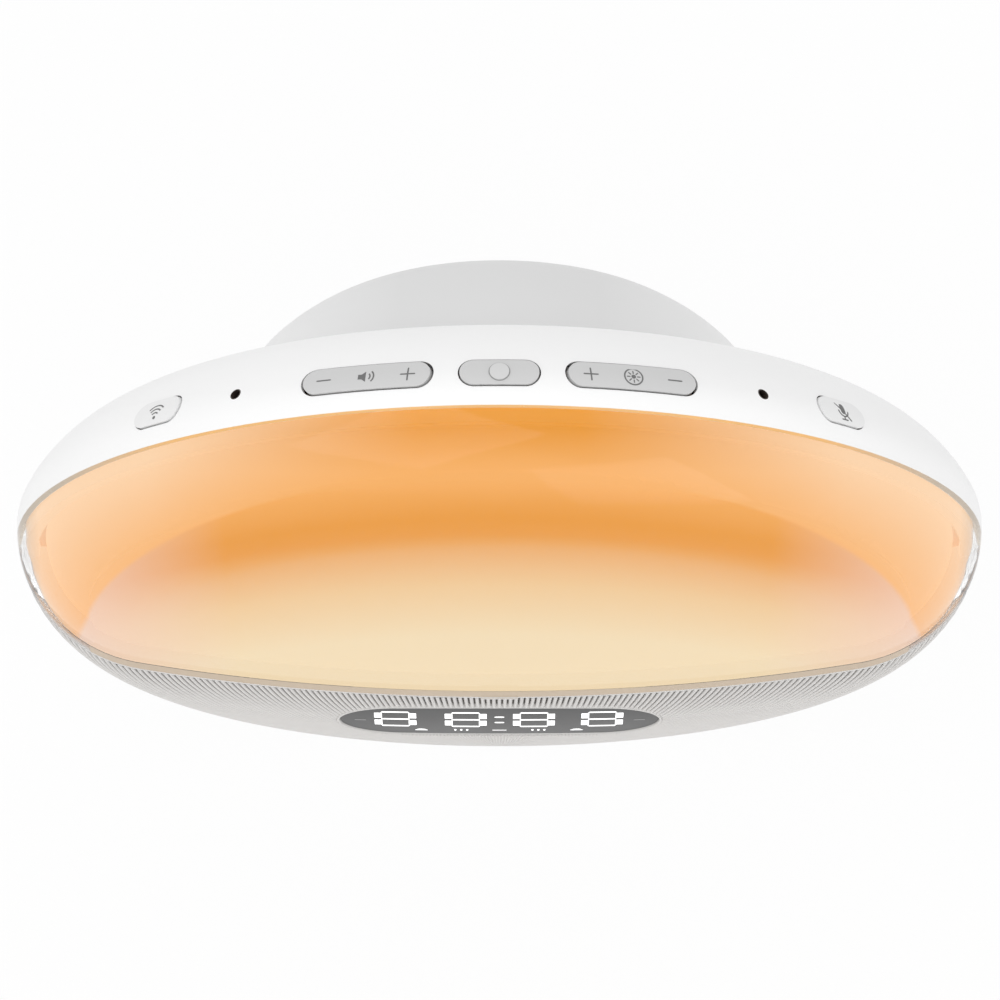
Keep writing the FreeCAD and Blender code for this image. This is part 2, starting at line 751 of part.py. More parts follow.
def display_mask():
    """The black mask with an opening for each bar and for the colon."""
    plate = display_slab(MASK_FRONT, MASK_FRONT + MASK_WALL)
    bars = []
    for x in DIGIT_PLACES:
        bars += digit(x)
    for side in (-1, 1):
        bars.append(rod(SEGMENT_WIDTH / 2, -REACH, 0, 0, -DIGIT_DROP + side * DIGIT_HEIGHT / 5))
    return plate.cut(Part.makeCompound(bars))


def display_slab(start, end, grow=0.0):
    """A slab of the display's outline."""
    half_x = DISPLAY_LENGTH / 2 + grow
    half_z = DISPLAY_HEIGHT / 2 + grow
    return box((-half_x, start, -WINDOW_DROP - half_z), (half_x, end, -WINDOW_DROP + half_z))


def display_block():
    """The light block behind the mask."""
    start = MASK_FRONT + MASK_WALL
    return display_slab(start, start + BLOCK_DEPTH)


def display_board():
    """The board behind the light block."""
    start = MASK_FRONT + MASK_WALL + BLOCK_DEPTH
    return display_slab(start, start + BOARD_WALL)


def display_holder():
    """A tray on four legs that carries the display in front of the chassis."""
    back = MASK_FRONT + MASK_WALL + BLOCK_DEPTH + BOARD_WALL
    tray = display_slab(MASK_FRONT + MASK_WALL, back + HOLDER_WALL, HOLDER_WALL + SEAT_GAP)
    tray = tray.cut(display_slab(MASK_FRONT, back, SEAT_GAP))
    slot_low = (-RIBBON_WIDTH, back, -WINDOW_DROP - HOLDER_SLOT)
    slot_high = (RIBBON_WIDTH, back + HOLDER_WALL, HOLDER_SLOT - WINDOW_DROP)
    tray = tray.cut(box(slot_low, slot_high))
    legs = []
    for x in (-1, 1):
        for z in (-1, 1):
            leg_x = x * (DISPLAY_LENGTH / 2 - LEG_RADIUS)
            leg_z = -WINDOW_DROP + z * (DISPLAY_HEIGHT / 2 - LEG_RADIUS)
            legs.append(rod(LEG_RADIUS, back + HOLDER_WALL, CHASSIS_FRONT, leg_x, leg_z))
    return fuse([tray] + legs)


# The chassis

def post_places():
    """The four posts that carry the main board and the rear cover."""
    return [(x * POST_SPREAD, z * POST_SPREAD) for x in (-1, 1) for z in (-1, 1)]


def chassis():
    """The plate across the disc that carries the lights, speakers, display, bracket and boards."""
    plate = rod(CHASSIS_RADIUS, CHASSIS_FRONT, CHASSIS_BACK).common(over(BASE_TOP))
    parts = [plate]
    holes = []
    bore_end = CHASSIS_BACK + SMALL_BOSS_BORE
    for x, z in post_places():
        parts.append(rod(POST_RADIUS, CHASSIS_BACK, MAIN_BOARD_Y, x, z))
        parts.append(rod(PILLAR_RADIUS, MAIN_BOARD_Y, MAIN_BOARD_BACK + WELL_FLOOR, x, z))
        if z < 0:
            holes.append(rod(SCREW_RADIUS + SCREW_FIT, MAIN_BOARD_Y / 2, HUB_BACK, x, z))
    for x, z in board_screw_places():
        parts.append(rod(BOSS_RADIUS, CHASSIS_BACK, CHASSIS_BACK + SMALL_BOSS_HEIGHT, x, z))
        holes.append(rod(SCREW_RADIUS + SCREW_FIT, CHASSIS_FRONT, bore_end, x, z))
    for x, y in base_screw_places():
        low = (x - BOSS_RADIUS, CHASSIS_BACK, BASE_TOP)
        high = (x + BOSS_RADIUS, y + BOSS_RADIUS, BASE_TOP + BASE_BOSS_HEIGHT)
        parts.append(box(low, high))
        depth = BASE_BOSS_HEIGHT - SCREW_RADIUS
        holes.append(Part.makeCylinder(SCREW_RADIUS + SCREW_FIT, depth, Vector(x, y, BASE_TOP)))
    for x, z in boss_places():
        holes.append(rod(SCREW_RADIUS + SCREW_FIT, CHASSIS_FRONT, CHASSIS_BACK, x, z))
    for x, z in speaker_places():
        holes.append(rod(SPEAKER_RADIUS, CHASSIS_FRONT, CHASSIS_BACK, x, z))
    for x, z in speaker_screw_places():
        parts.append(rod(SPEAKER_BOSS_RADIUS, CHASSIS_BACK, CHASSIS_BACK + SMALL_BOSS_HEIGHT, x, z))
        holes.append(rod(SCREW_RADIUS + SCREW_FIT, CHASSIS_FRONT, bore_end, x, z))
    for z in (LIGHT_RIBBON_Z, -WINDOW_DROP):
        half = RIBBON_WIDTH / 2 + RIBBON_SLACK
        holes.append(box((-half, CHASSIS_FRONT, z - RIBBON_HOLE), (half, CHASSIS_BACK, z + RIBBON_HOLE)))
    return fuse(parts).cut(Part.makeCompound(holes))


# Loudspeakers

def speaker_places():
    """The two loudspeakers' centres."""
    return [(-SPEAKER_X, -SPEAKER_DROP), (SPEAKER_X, -SPEAKER_DROP)]


def speaker_screw_places():
    """Four screws round each loudspeaker."""
    places = []
    for x, z in speaker_places():
        for angle in SPEAKER_SCREW_ANGLES:
            dx, dz = polar(SPEAKER_SCREW_RING, angle)
            places.append((x + dx, z + dz))
    return places


def cone_ring(r1, r2, start, end, wall, x, z):
    """A tapering tube along the disc's axis."""
    place = Vector(x, start, z)
    outer = Part.makeCone(r1, r2, end - start, place, AXIS)
    inner = Part.makeCone(r1 - wall, r2 - wall, end - start, place, AXIS)
    return outer.cut(inner)


def speaker(x, z):
    """The frame, cone, magnet and gasket of one loudspeaker."""
    face = CHASSIS_FRONT - FLANGE_WALL
    basket_end = CHASSIS_FRONT + BASKET_DEPTH
    basket_radius = SPEAKER_RADIUS - BASKET_INSET
    mouth = basket_radius - BASKET_WALL
    flange = ring(FLANGE_RADIUS, mouth, face, CHASSIS_FRONT, x, z)
    basket = cone_ring(basket_radius, MAGNET_RADIUS, CHASSIS_FRONT, basket_end, BASKET_WALL, x, z)
    back = ring(MAGNET_RADIUS, MAGNET_RADIUS / 3, basket_end - BASKET_WALL, basket_end, x, z)
    frame = fuse([flange, basket, back])
    holes = []
    for angle in SPEAKER_SCREW_ANGLES:
        dx, dz = polar(SPEAKER_SCREW_RING, angle)
        holes.append(rod(SCREW_RADIUS + SCREW_FIT, face, CHASSIS_FRONT, x + dx, z + dz))
    frame = frame.cut(Part.makeCompound(holes))
    roll_radius = mouth - ROLL_GAP
    roll_back = face + ROLL_DEPTH
    cone_back = roll_back + CONE_DEPTH
    paper_radius = roll_radius - ROLL_WIDTH
    roll = ring(roll_radius, paper_radius, face, roll_back, x, z)
    throat = paper_radius - CONE_TAPER
    paper = cone_ring(paper_radius, throat, roll_back, cone_back, CONE_WALL, x, z)
    joint = ring(paper_radius, paper_radius - CONE_WALL - DOME_OVERLAP, face, roll_back, x, z)
    cap_radius = throat - DOME_OVERLAP
    dome = Part.makeSphere(cap_radius, Vector(x, cone_back, z))
    dome = dome.common(rod(cap_radius, face, cone_back, x, z))
    cone = fuse([roll, joint, paper, dome])
    magnet = rod(MAGNET_RADIUS, basket_end, basket_end + MAGNET_DEPTH, x, z)
    gasket = ring(mouth + GASKET_WIDTH, mouth, face - GASKET_WALL, face, x, z)
    return {"frame": frame, "cone": cone, "magnet": magnet, "gasket": gasket}


# Boards in the hub

def main_board():
    """The round main board, with a flat edge over the power inlet."""
    board = rod(MAIN_BOARD_RADIUS, MAIN_BOARD_Y, MAIN_BOARD_BACK).common(over(-MAIN_BOARD_FLAT))
    holes = [rod(PILLAR_RADIUS + SEAT_GAP, MAIN_BOARD_Y, MAIN_BOARD_BACK, x, z) for x, z in post_places()]
    return board.cut(Part.makeCompound(holes))


def on_board(place, size):
    """A block on the back of the main board."""
    x, z = place
    width, height, depth = size
    return box(
        (x - width / 2, MAIN_BOARD_BACK, z - height / 2),
        (x + width / 2, MAIN_BOARD_BACK + depth, z + height / 2),
    )


def power_inlet():
    """The power socket on the board's lower edge, facing down through the cover."""
    top = INLET_OVERLAP - MAIN_BOARD_FLAT
    low = top - INLET_LENGTH
    half = INLET_WIDTH / 2
    body = box((-half, MAIN_BOARD_BACK, low), (half, MAIN_BOARD_BACK + INLET_DEPTH, top))
    centre = MAIN_BOARD_BACK + INLET_DEPTH / 2
    depth = INLET_LENGTH - INLET_END
    bore = Part.makeCylinder(INLET_BORE, depth, Vector(0, centre, low))
    pin_foot = Vector(0, centre, low + INLET_PIN_RECESS)
    pin = Part.makeCylinder(INLET_PIN, depth - INLET_PIN_RECESS, pin_foot)
    return body.cut(bore).fuse(pin).removeSplitter()


def wifi_antenna():
    """A thin antenna strip on the back of the chassis."""
    top = BRACKET_FLOOR - ANTENNA_DROP
    low = (-ANTENNA_LENGTH / 2, CHASSIS_BACK, top - ANTENNA_WIDTH)
    return box(low, (ANTENNA_LENGTH / 2, CHASSIS_BACK + ANTENNA_WALL, top))


# Under the buttons

def sector(outer, inner, start, end, sweep):
    """A tube along the disc's axis, kept within sweep degrees each side of the top."""
    band = ring(outer, inner, start, end)
    x, z = polar(REACH, sweep)
    corners = [(0, 0), (x, z), (0, 2 * REACH), (-x, z), (0, 0)]
    wedge = Part.Face(Part.makePolygon([Vector(a, start, b) for a, b in corners]))
    return band.common(wedge.extrude(Vector(0, end - start, 0)))


def button_bracket():
    """The curved channel that carries the button board and the rocker pins."""
    start = CHASSIS_BACK
    end = CHASSIS_BACK + BRACKET_DEPTH
    block = sector(BRACKET_TOP, BRACKET_FLOOR, start, end, BRACKET_SWEEP)
    floor = BRACKET_FLOOR + BRACKET_WALL
    hollow = sector(REACH / 2, floor, start + BRACKET_WALL, end - BRACKET_WALL, BRACKET_SWEEP)
    holes = []
    pin_hole = rod(PIN_RADIUS + PIN_FIT, start, end, 0, PIVOT_HEIGHT)
    for side in (-1, 1):
        holes.append(turned(pin_hole, side * ROCKER_ANGLE))
    half = RIBBON_WIDTH / 2 + RIBBON_SLACK
    slot = (start + BUTTON_RIBBON_BACK - RIBBON_HOLE, start + BUTTON_RIBBON_BACK + RIBBON_HOLE)
    holes.append(box((-half, slot[0], BRACKET_FLOOR - BRACKET_WALL), (half, slot[1], floor)))
    return block.cut(hollow).cut(Part.makeCompound(holes))


def button_board():
    """The flexible board that lines the bracket's floor."""
    low = BRACKET_FLOOR + BRACKET_WALL
    start = CHASSIS_BACK + BRACKET_WALL + SEAT_GAP
    end = CHASSIS_BACK + BRACKET_DEPTH - BRACKET_WALL - SEAT_GAP
    return sector(low + FLEX_WALL, low, start, end, BRACKET_SWEEP - 1)


def tact_switch(x, angle):
    """A small push switch standing on the button board, x along its button from the button's middle."""
    low = BRACKET_FLOOR + BRACKET_WALL + FLEX_WALL
    half = SWITCH_SIZE / 2
    top = STEM_END - PLUNGER_GAP
    body_top = top - PLUNGER_HEIGHT
    body = box((x - half, BUTTON_Y - half, low - SWITCH_SUNK), (x + half, BUTTON_Y + half, body_top))
    seat = rod(low, CHASSIS_BACK, REACH)
    plunger = Part.makeCylinder(PLUNGER_RADIUS, top - body_top, Vector(x, BUTTON_Y, body_top))
    return turned(fuse([body.cut(seat), plunger]), angle)


def microphone():
    """A microphone on the button board."""
    low = BRACKET_FLOOR + BRACKET_WALL + FLEX_WALL
    half = MIC_SIZE / 2
    return box((-half, BUTTON_Y - half, low), (half, BUTTON_Y + half, low + MIC_HEIGHT))


def mic_seal():
    """A rubber tube from a microphone to its hole in the rim."""
    low = BRACKET_FLOOR + BRACKET_WALL + FLEX_WALL + MIC_HEIGHT
    tube = Part.makeCylinder(SEAL_RADIUS, DISC_RADIUS - low, Vector(0, BUTTON_Y, low))
    bore = Part.makeCylinder(MIC_HOLE, DISC_RADIUS - low, Vector(0, BUTTON_Y, low))
    return tube.cut(bore).common(disc(WALL + SEAT_GAP))


def pivot_pin():
    """A rocker's pin, held in the bracket's two walls."""
    return rod(PIN_RADIUS, CHASSIS_BACK, CHASSIS_BACK + BRACKET_DEPTH, 0, PIVOT_HEIGHT)


# Ribbon cables

def ribbon(points):
    """A flat cable through (y, z) points, with its width along X."""
    offsets = []
    for i, (y, z) in enumerate(points):
        before_y, before_z = points[max(i - 1, 0)]
        after_y, after_z = points[min(i + 1, len(points) - 1)]
        along = math.hypot(after_y - before_y, after_z - before_z)
        normal = ((before_z - after_z) / along, (after_y - before_y) / along)
        offsets.append((y + normal[0] * RIBBON_WALL, z + normal[1] * RIBBON_WALL))
    outline = points + offsets[::-1]
    corners = [Vector(-RIBBON_WIDTH / 2, y, z) for y, z in outline]
    face = Part.Face(Part.makePolygon(corners + corners[:1]))
    return face.extrude(Vector(RIBBON_WIDTH, 0, 0))


def light_ribbon():
    """From the main board forward to the light board."""
    low = LIGHT_RIBBON_Z
    high = low + LIGHT_RIBBON_RISE
    bend = MAIN_BOARD_Y - RIBBON_STRAIGHT
    return ribbon([(MAIN_BOARD_Y, high), (bend, high), (bend - RIBBON_BEND, low), (CHASSIS_FRONT, low)])


def display_ribbon():
    """From the display board back to the main board."""
    start = MASK_FRONT + MASK_WALL + BLOCK_DEPTH + BOARD_WALL
    low = -WINDOW_DROP
    end = RIBBON_STRAIGHT - MAIN_BOARD_FLAT
    return ribbon([
        (start, low), (CHASSIS_BACK + LIGHT_RIBBON_RISE, low),
        (MAIN_BOARD_Y - RIBBON_BEND, end - RIBBON_HOLE), (MAIN_BOARD_Y, end),
    ])


def button_ribbon():
    """From the main board up to the button board."""
    z = BRACKET_FLOOR + BRACKET_WALL - 3 * SEAT_GAP
    back = CHASSIS_BACK + BUTTON_RIBBON_BACK
    start = BUTTON_RIBBON_Z
    lift = BRACKET_FLOOR - ANTENNA_DROP - RIBBON_STRAIGHT
    return ribbon([
        (MAIN_BOARD_Y, start), (MAIN_BOARD_Y - LIGHT_RIBBON_RISE, start + HOLDER_SLOT), (back, lift), (back, z),
    ])


def cover_screws():
    """Two screws from the back, through the cover's lower wells into the pillars."""
    seat = MAIN_BOARD_BACK + 2 * WELL_FLOOR
    group = []
    for x, z in post_places():
        if z < 0:
            one = screw(COVER_SCREW_LENGTH)
            one.rotate(ORIGIN, Vector(1, 0, 0), 180)
            one.translate(Vector(x, seat, z))
            group.append(one)
    return Part.makeCompound(group)


def main():
    """Build every piece and write it."""
    os.makedirs("parts", exist_ok=True)
    save("rim_housing", rim_housing())
    save("rear_cover", rear_cover())
    save("base_plate", base_plate())
    save("rubber_foot", rubber_foot())
    save("base_screws", base_screws())
    save("front_lens", front_lens())
    save("lens_seal", lens_seal())
    save("diffuser", diffuser())
    save("light_shelf", light_shelf())
    save("light_board", light_board())
    save("light_chips", light_chips())
    save("speaker_grille", speaker_grille())
    save("speaker_mesh", speaker_mesh())
    save("display_window", display_window())
    save("display_mask", display_mask())
    save("display_block", display_block())
    save("display_board", display_board())
    save("display_holder", display_holder())
    save("chassis", chassis())
    for side, (x, z) in zip(("left", "right"), speaker_places()):
        for piece, shape in speaker(x, z).items():
            save("speaker_" + piece + "_" + side, shape)
    save("main_board", main_board())
    save("processor_shield", on_board(SHIELD_PLACE, SHIELD_SIZE))
    save("wifi_module", on_board(RADIO_PLACE, RADIO_SIZE))
    save("power_inlet", power_inlet())
    save("wifi_antenna", wifi_antenna())
    save("button_bracket", button_bracket())
    save("button_board", button_board())
    save("volume_rocker", turned(rocker(), -ROCKER_ANGLE))
    save("brightness_rocker", turned(rocker(), ROCKER_ANGLE))
    save("centre_button", centre_button())
    save("wifi_button", turned(button_cap(SIDE_LENGTH, (0,)), -SIDE_ANGLE))
    save("mute_button", turned(button_cap(SIDE_LENGTH, (0,)), SIDE_ANGLE))
    save("volume_pin", turned(pivot_pin(), -ROCKER_ANGLE))
    save("brightness_pin", turned(pivot_pin(), ROCKER_ANGLE))
    save("switch_volume_down", tact_switch(-STEM_SPREAD, -ROCKER_ANGLE))
    save("switch_volume_up", tact_switch(STEM_SPREAD, -ROCKER_ANGLE))
    save("switch_brightness_up", tact_switch(-STEM_SPREAD, ROCKER_ANGLE))
    save("switch_brightness_down", tact_switch(STEM_SPREAD, ROCKER_ANGLE))
    save("switch_centre", tact_switch(0, 0))
    save("switch_wifi", tact_switch(0, -SIDE_ANGLE))
    save("switch_mute", tact_switch(0, SIDE_ANGLE))
    for side, sign in (("left", -1), ("right", 1)):
        save("microphone_" + side, turned(microphone(), sign * MIC_ANGLE))
        save("mic_seal_" + side, turned(mic_seal(), sign * MIC_ANGLE))
    places = [(x, CHASSIS_FRONT, z) for x, z in boss_places()]
    save("chassis_screws", screws(places, CHASSIS_SCREW_LENGTH))
    face = CHASSIS_FRONT - FLANGE_WALL
    places = [(x, face, z) for x, z in speaker_screw_places()]
    save("speaker_screws", screws(places, SPEAKER_SCREW_LENGTH))
    face = CHASSIS_FRONT - BOARD_WALL
    places = [(x, face, z) for x, z in board_screw_places()]
    save("board_screws", screws(places, BOARD_SCREW_LENGTH))
    save("cover_screws", cover_screws())
    save("light_ribbon", light_ribbon())
    save("display_ribbon", display_ribbon())
    save("button_ribbon", button_ribbon())


main()
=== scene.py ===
"""Sunrise alarm clock: the finish of every piece, the fine ribs, the lit display and the button marks."""
import json
import math

import bmesh
import bpy
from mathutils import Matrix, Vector


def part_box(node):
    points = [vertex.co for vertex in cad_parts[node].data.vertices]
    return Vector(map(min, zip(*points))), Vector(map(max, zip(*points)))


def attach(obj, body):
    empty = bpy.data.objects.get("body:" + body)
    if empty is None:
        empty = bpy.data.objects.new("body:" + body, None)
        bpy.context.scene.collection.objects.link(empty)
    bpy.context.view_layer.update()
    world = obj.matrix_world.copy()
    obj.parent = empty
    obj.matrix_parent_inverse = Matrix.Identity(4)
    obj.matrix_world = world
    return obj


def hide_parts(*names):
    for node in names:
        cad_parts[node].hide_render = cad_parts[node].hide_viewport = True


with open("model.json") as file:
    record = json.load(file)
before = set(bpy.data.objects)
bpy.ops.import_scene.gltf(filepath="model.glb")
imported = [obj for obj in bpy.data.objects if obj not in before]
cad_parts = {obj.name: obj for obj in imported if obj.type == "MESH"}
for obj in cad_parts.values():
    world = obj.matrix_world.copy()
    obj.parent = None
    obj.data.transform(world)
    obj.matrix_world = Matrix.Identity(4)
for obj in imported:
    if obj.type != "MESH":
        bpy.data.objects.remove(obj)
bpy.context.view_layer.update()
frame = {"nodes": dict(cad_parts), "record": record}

bl_info = {
    "name": "Sunrise alarm clock",
    "version": (1, 0, 0),
    "blender": (4, 5, 0),
    "location": "View3D > Sidebar > Clock",
    "description": "Dresses the packed clock and sets up its studio",
    "category": "Object",
}

MM = 0.001

# How far a face of the cover has to turn to the back or down to count as its cut edge
FACES_BACK = 0.999
FACES_DOWN = -0.9
FLAT_TOLERANCE = 0.01 * MM

# Corners closer than this are one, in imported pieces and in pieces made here
MERGE_DISTANCE = 2e-6
WELD_DISTANCE = 1e-7

# A corner shared by more faces than this is the hub of a fan, and shades badly
FAN_FACES = 120

# The disc's centre and outline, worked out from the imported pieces
LENS_LOW, LENS_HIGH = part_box("front_lens")
HOUSING_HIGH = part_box("rim_housing")[1]
DISC_RADIUS = HOUSING_HIGH.x
CENTRE_Z = HOUSING_HIGH.z - DISC_RADIUS
FRONT_DEPTH = 31.2 * MM
CENTRE_Y = LENS_LOW.y + FRONT_DEPTH
CENTRE = Vector((0, CENTRE_Y, CENTRE_Z))
BASE_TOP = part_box("base_plate")[1].z - CENTRE_Z

# The front surface: a rolled edge, then a nearly flat crown
EDGE_RADIUS = 28.5 * MM
EDGE_CENTRE = DISC_RADIUS - EDGE_RADIUS
CROWN_RADIUS = (FRONT_DEPTH ** 2 + EDGE_CENTRE ** 2 - EDGE_RADIUS ** 2) / (2 * (FRONT_DEPTH - EDGE_RADIUS))
CROWN_TURN = math.atan2(CROWN_RADIUS - FRONT_DEPTH, EDGE_CENTRE)
REAR_EDGE_RADIUS = 12.0 * MM

# The lit panel's pattern, in millimetres, its real glow graded with painted shade of its step: its rises
# lean with the line of sight, and its step is an arc
GLOW_BOW = 0.0015
CREAM_RISE = -22.4
SAND_RISE = -10.9
STEP_SHADE_RISE = -0.1
STEP_SHADE_TOP = 3.5
BAND_RISE = 12.4
BAND_TOP = 13.2
SHADE_RISE = 22.4
RIM_RISE = 27.0
ARC_HALF_WIDTH = 97.0
ARC_HALF_RISE = 42.9
ARC_DROP = 29.8
BLUSH_START = 60.0
BLUSH_REACH = 45.0
PEACH_START = 18.0
PEACH_REACH = 58.0

# The step's softness and the shade above it, as shares of the arc
SHADE_LEAST = 0.15
SHADE_REACH = 0.33
STEP_SOFT = 0.015
STEP_FADE = 0.3
STEP_FADE_REACH = 42.0

# Where the painted glow of the cover's edge, the painted reflection on the cover's rim and the painted
# light on the dome's sides change tone, in millimetres from the middle
EDGE_FADE_START = 70.0
EDGE_FADE_REACH = 28.0
COVER_RIM_START = 103.0
COVER_RIM_REACH = 6.0
FLANK_START = 22.0
FLANK_REACH = 40.0

# The seam between the lit face and the ribs, and the ribs' pole under the clock
SEAM_RADIUS = 215.0 * MM
SEAM_DROP = 29.7 * MM
SEAM_CENTRE = SEAM_RADIUS - SEAM_DROP
RIB_POLE = 90.0 * MM
RIB_SPREAD = 230.0 * MM
SEAM_Y = LENS_HIGH.y - CENTRE_Y
SEAM_END_ANGLE = 4.0

# The plain edges round the ribs, the sheet behind them and the ribs' section
EDGE_REACH = 105.0 * MM
EDGE_GAP = 0.1 * MM
EDGE_LAP = 0.2 * MM
EDGE_THICKNESS = 2.0 * MM
WINDOW_GAP = 0.3 * MM
TAB_HALF_LENGTH = 4.1 * MM
TAB_DROP = 0.45 * MM
TAB_WIDTH = 0.5 * MM
TAB_ROOT = 0.3 * MM
TAB_HEIGHT = 0.7 * MM
TAB_CELL = 1.0 * MM
RIB_FILLET = 0.25 * MM
RIB_DEPTH = 4.0 * MM
RIB_ROOT_SHARE = 0.999
SHEET_REACH = 108.0 * MM
SHEET_SEAM_GAP = 0.4 * MM
SHEET_RIM_GAP = 1.2 * MM
SHEET_BASE_GAP = 0.2 * MM
SHEET_WINDOW_LAP = 1.2 * MM
SHEET_THICKNESS = 0.5 * MM
SHEET_ROW = 2.1 * MM
SHEET_BRIDGE = 0.93

# The display
WINDOW_LOW, WINDOW_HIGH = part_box("display_window")
WINDOW_DROP = CENTRE_Z - (WINDOW_LOW.z + WINDOW_HIGH.z) / 2
WINDOW_LENGTH = WINDOW_HIGH.x - WINDOW_LOW.x
WINDOW_HEIGHT = WINDOW_HIGH.z - WINDOW_LOW.z

# The display's marks, in millimetres from the disc's centre
DIGIT_PLACES = (-24.4, -7.9, 8.1, 24.1)
DIGIT_RISE = -55.3
DIGIT_HALF_HEIGHT = 7.6
BAR_HALF_LENGTH = 3.4
MIDDLE_BAR_HALF_LENGTH = 3.3
BAR_HALF_HEIGHT = 0.55
BAR_TAPER = 0.4
UPRIGHT_PLACE = 4.0
UPRIGHT_HALF_WIDTH = 0.9
UPRIGHT_HALF_HEIGHT = 2.6
COLON_RISE = 3.0
COLON_HALF_LENGTH = 0.6
COLON_WIDTH = 1.1
SIGN_RISE = -67.2
SIGN_FOOT = SIGN_RISE - 0.3
SIGN_LINE = 0.4
BELL_PLACES = (-18.4, 18.2)
BELL_RADIUS = 0.9
BELL_BRIM = 1.3
DAY_PLACES = (-9.0, 9.2)
DAY_STEP = 1.4
DAY_HEIGHT = 1.0
DAY_LINE = 0.5
DASH_HALF_LENGTH = 1.5
FAINT_DASH_PLACES = (-32.6, 32.8)
FAINT_DASH_RISE = -57.0
FAINT_DASH_HALF_LENGTH = 1.1
MARK_ROOT = 0.3 * MM
DISPLAY_CELL = 1.5

# The buttons and the microphone bores
BUTTON_Y = 5.0 * MM
BUTTON_PROUD = 0.5 * MM
BUTTON_CELL = 0.35 * MM
ROCKER_ANGLE = 15.3
SIDE_ANGLE = 43.3
SIGN_OFFSET = 9.4 * MM
SIGN_HALF = 1.5 * MM
DOT_RADIUS = 2.1 * MM
DOT_RING_RADIUS = 2.35 * MM
BORE_RADIUS = 1.3 * MM
BORE_LEAST_X = 20.0 * MM

# Texture scales per metre, and the depth of a moulded grain
DRIFT_SCALE = 18.0
GRAIN_SCALE = 1400.0
BRUSH_SCALE = 900.0
TRACK_SCALE = 900.0
COATING_SCALE = 600.0
COVER_SCALE = 300.0
SHEET_SCALE = 500.0
WINDOW_SCALE = 40.0
LIGHT_SCALE = 200.0
GRAIN_DEPTH = 0.04 * MM

# Tones from 0 to 255: the lit face as the photograph shows it, the cover's rim and the chassis
SAND = (240, 198, 144)
BAND = (249, 180, 113)
RIM = (242, 164, 83)
PEACH = (254, 216, 180)
BLUSH = (243, 208, 194)
# Painted glow of the cover's cut edges: at the top, towards the sides and below the middle
TOP_EDGE = (246, 196, 140)
FAR_EDGE = (200, 188, 176)
LOW_EDGE = (196, 178, 160)
# Painted reflection on the cover's rim, seen edge on
COVER_RIM_REFLECTION = (214, 214, 214)
# Painted warm light from the glow falling on the chassis
CHASSIS_WARM_LIGHT = (255, 226, 196)

# What the cover and the room do to the light, as linear values
SHOWN_SHARE = 0.97
ROOM_LIGHT = (0.025, 0.025, 0.045)

# How the photograph looks at the clock
CAMERA_TILT = 15.89
CAMERA_DISTANCE = 1.7
CAMERA_REACH = 50.0
CAMERA_LENS = 267.9
CAMERA_SHIFT = (0.0006, 0.0335)
SENSOR_WIDTH = 36.0

# The lamps and the floor, in metres
KEY_PLACE = (-0.5, -0.5, 1.5)
KEY_SIZE = 1.2
FRONT_PLACE = (0.7, -1.3, 0.8)
FRONT_SIZE = 1.0
FLOOR_REACH = 6.0
FLOOR_GLOW = 0.93


def linear(colour):
    """A colour from 0 to 255 as the linear values that shaders use."""
    values = [v / 255 for v in colour]
    return [v / 12.92 if v <= 0.04045 else ((v + 0.055) / 1.055) ** 2.4 for v in values]


# Shapes

def front_depth(radius, inset=0.0):
    """How far the front surface, moved inwards by inset, stands before the disc's mid plane."""
    crown = CROWN_RADIUS - inset
    if radius < crown * math.cos(CROWN_TURN):
        return math.sqrt(crown ** 2 - radius ** 2) + FRONT_DEPTH - CROWN_RADIUS
    edge = EDGE_RADIUS - inset
    return math.sqrt(max(edge ** 2 - (radius - EDGE_CENTRE) ** 2, 0.0))


def front_point(x, z, inset=0.0):
    """The point of the front surface seen at x and z from the disc's centre."""
    return Vector((x, CENTRE_Y - front_depth(math.hypot(x, z), inset), CENTRE_Z + z))


def rim_radius(y, inset=0.0):
    """The disc's radius behind its mid plane, near the buttons."""
    edge = REAR_EDGE_RADIUS - inset
    return DISC_RADIUS - REAR_EDGE_RADIUS + math.sqrt(max(edge ** 2 - y ** 2, 0.0))


def rim_point(angle, along, y, inset=0.0):
    """A point on the rim: angle from the top, then along it in metres, y behind the mid plane."""
    turn = math.radians(angle)
    radius = math.sqrt(max(rim_radius(y, inset) ** 2 - along ** 2, 0.0))
    return Vector((
        radius * math.sin(turn) + along * math.cos(turn),
        CENTRE_Y + y,
        CENTRE_Z + radius * math.cos(turn) - along * math.sin(turn),
    ))


def link(name, data):
    """A new object at the origin for a mesh, a lamp or a camera."""
    obj = bpy.data.objects.new(name, data)
    bpy.context.scene.collection.objects.link(obj)
    return obj


def mesh_object(name, points, faces, smooth=True):
    """An object made from points and faces."""
    mesh = bpy.data.meshes.new(name)
    mesh.from_pydata([tuple(p) for p in points], [], faces)
    mesh.validate()
    for polygon in mesh.polygons:
        polygon.use_smooth = smooth
    return link(name, mesh)


def outwards(obj):
    """Turn the faces of a closed piece outwards."""
    shape = bmesh.new()
    shape.from_mesh(obj.data)
    bmesh.ops.remove_doubles(shape, verts=shape.verts, dist=WELD_DISTANCE)
    bmesh.ops.recalc_face_normals(shape, faces=shape.faces)
    shape.to_mesh(obj.data)
    shape.free()
    return obj


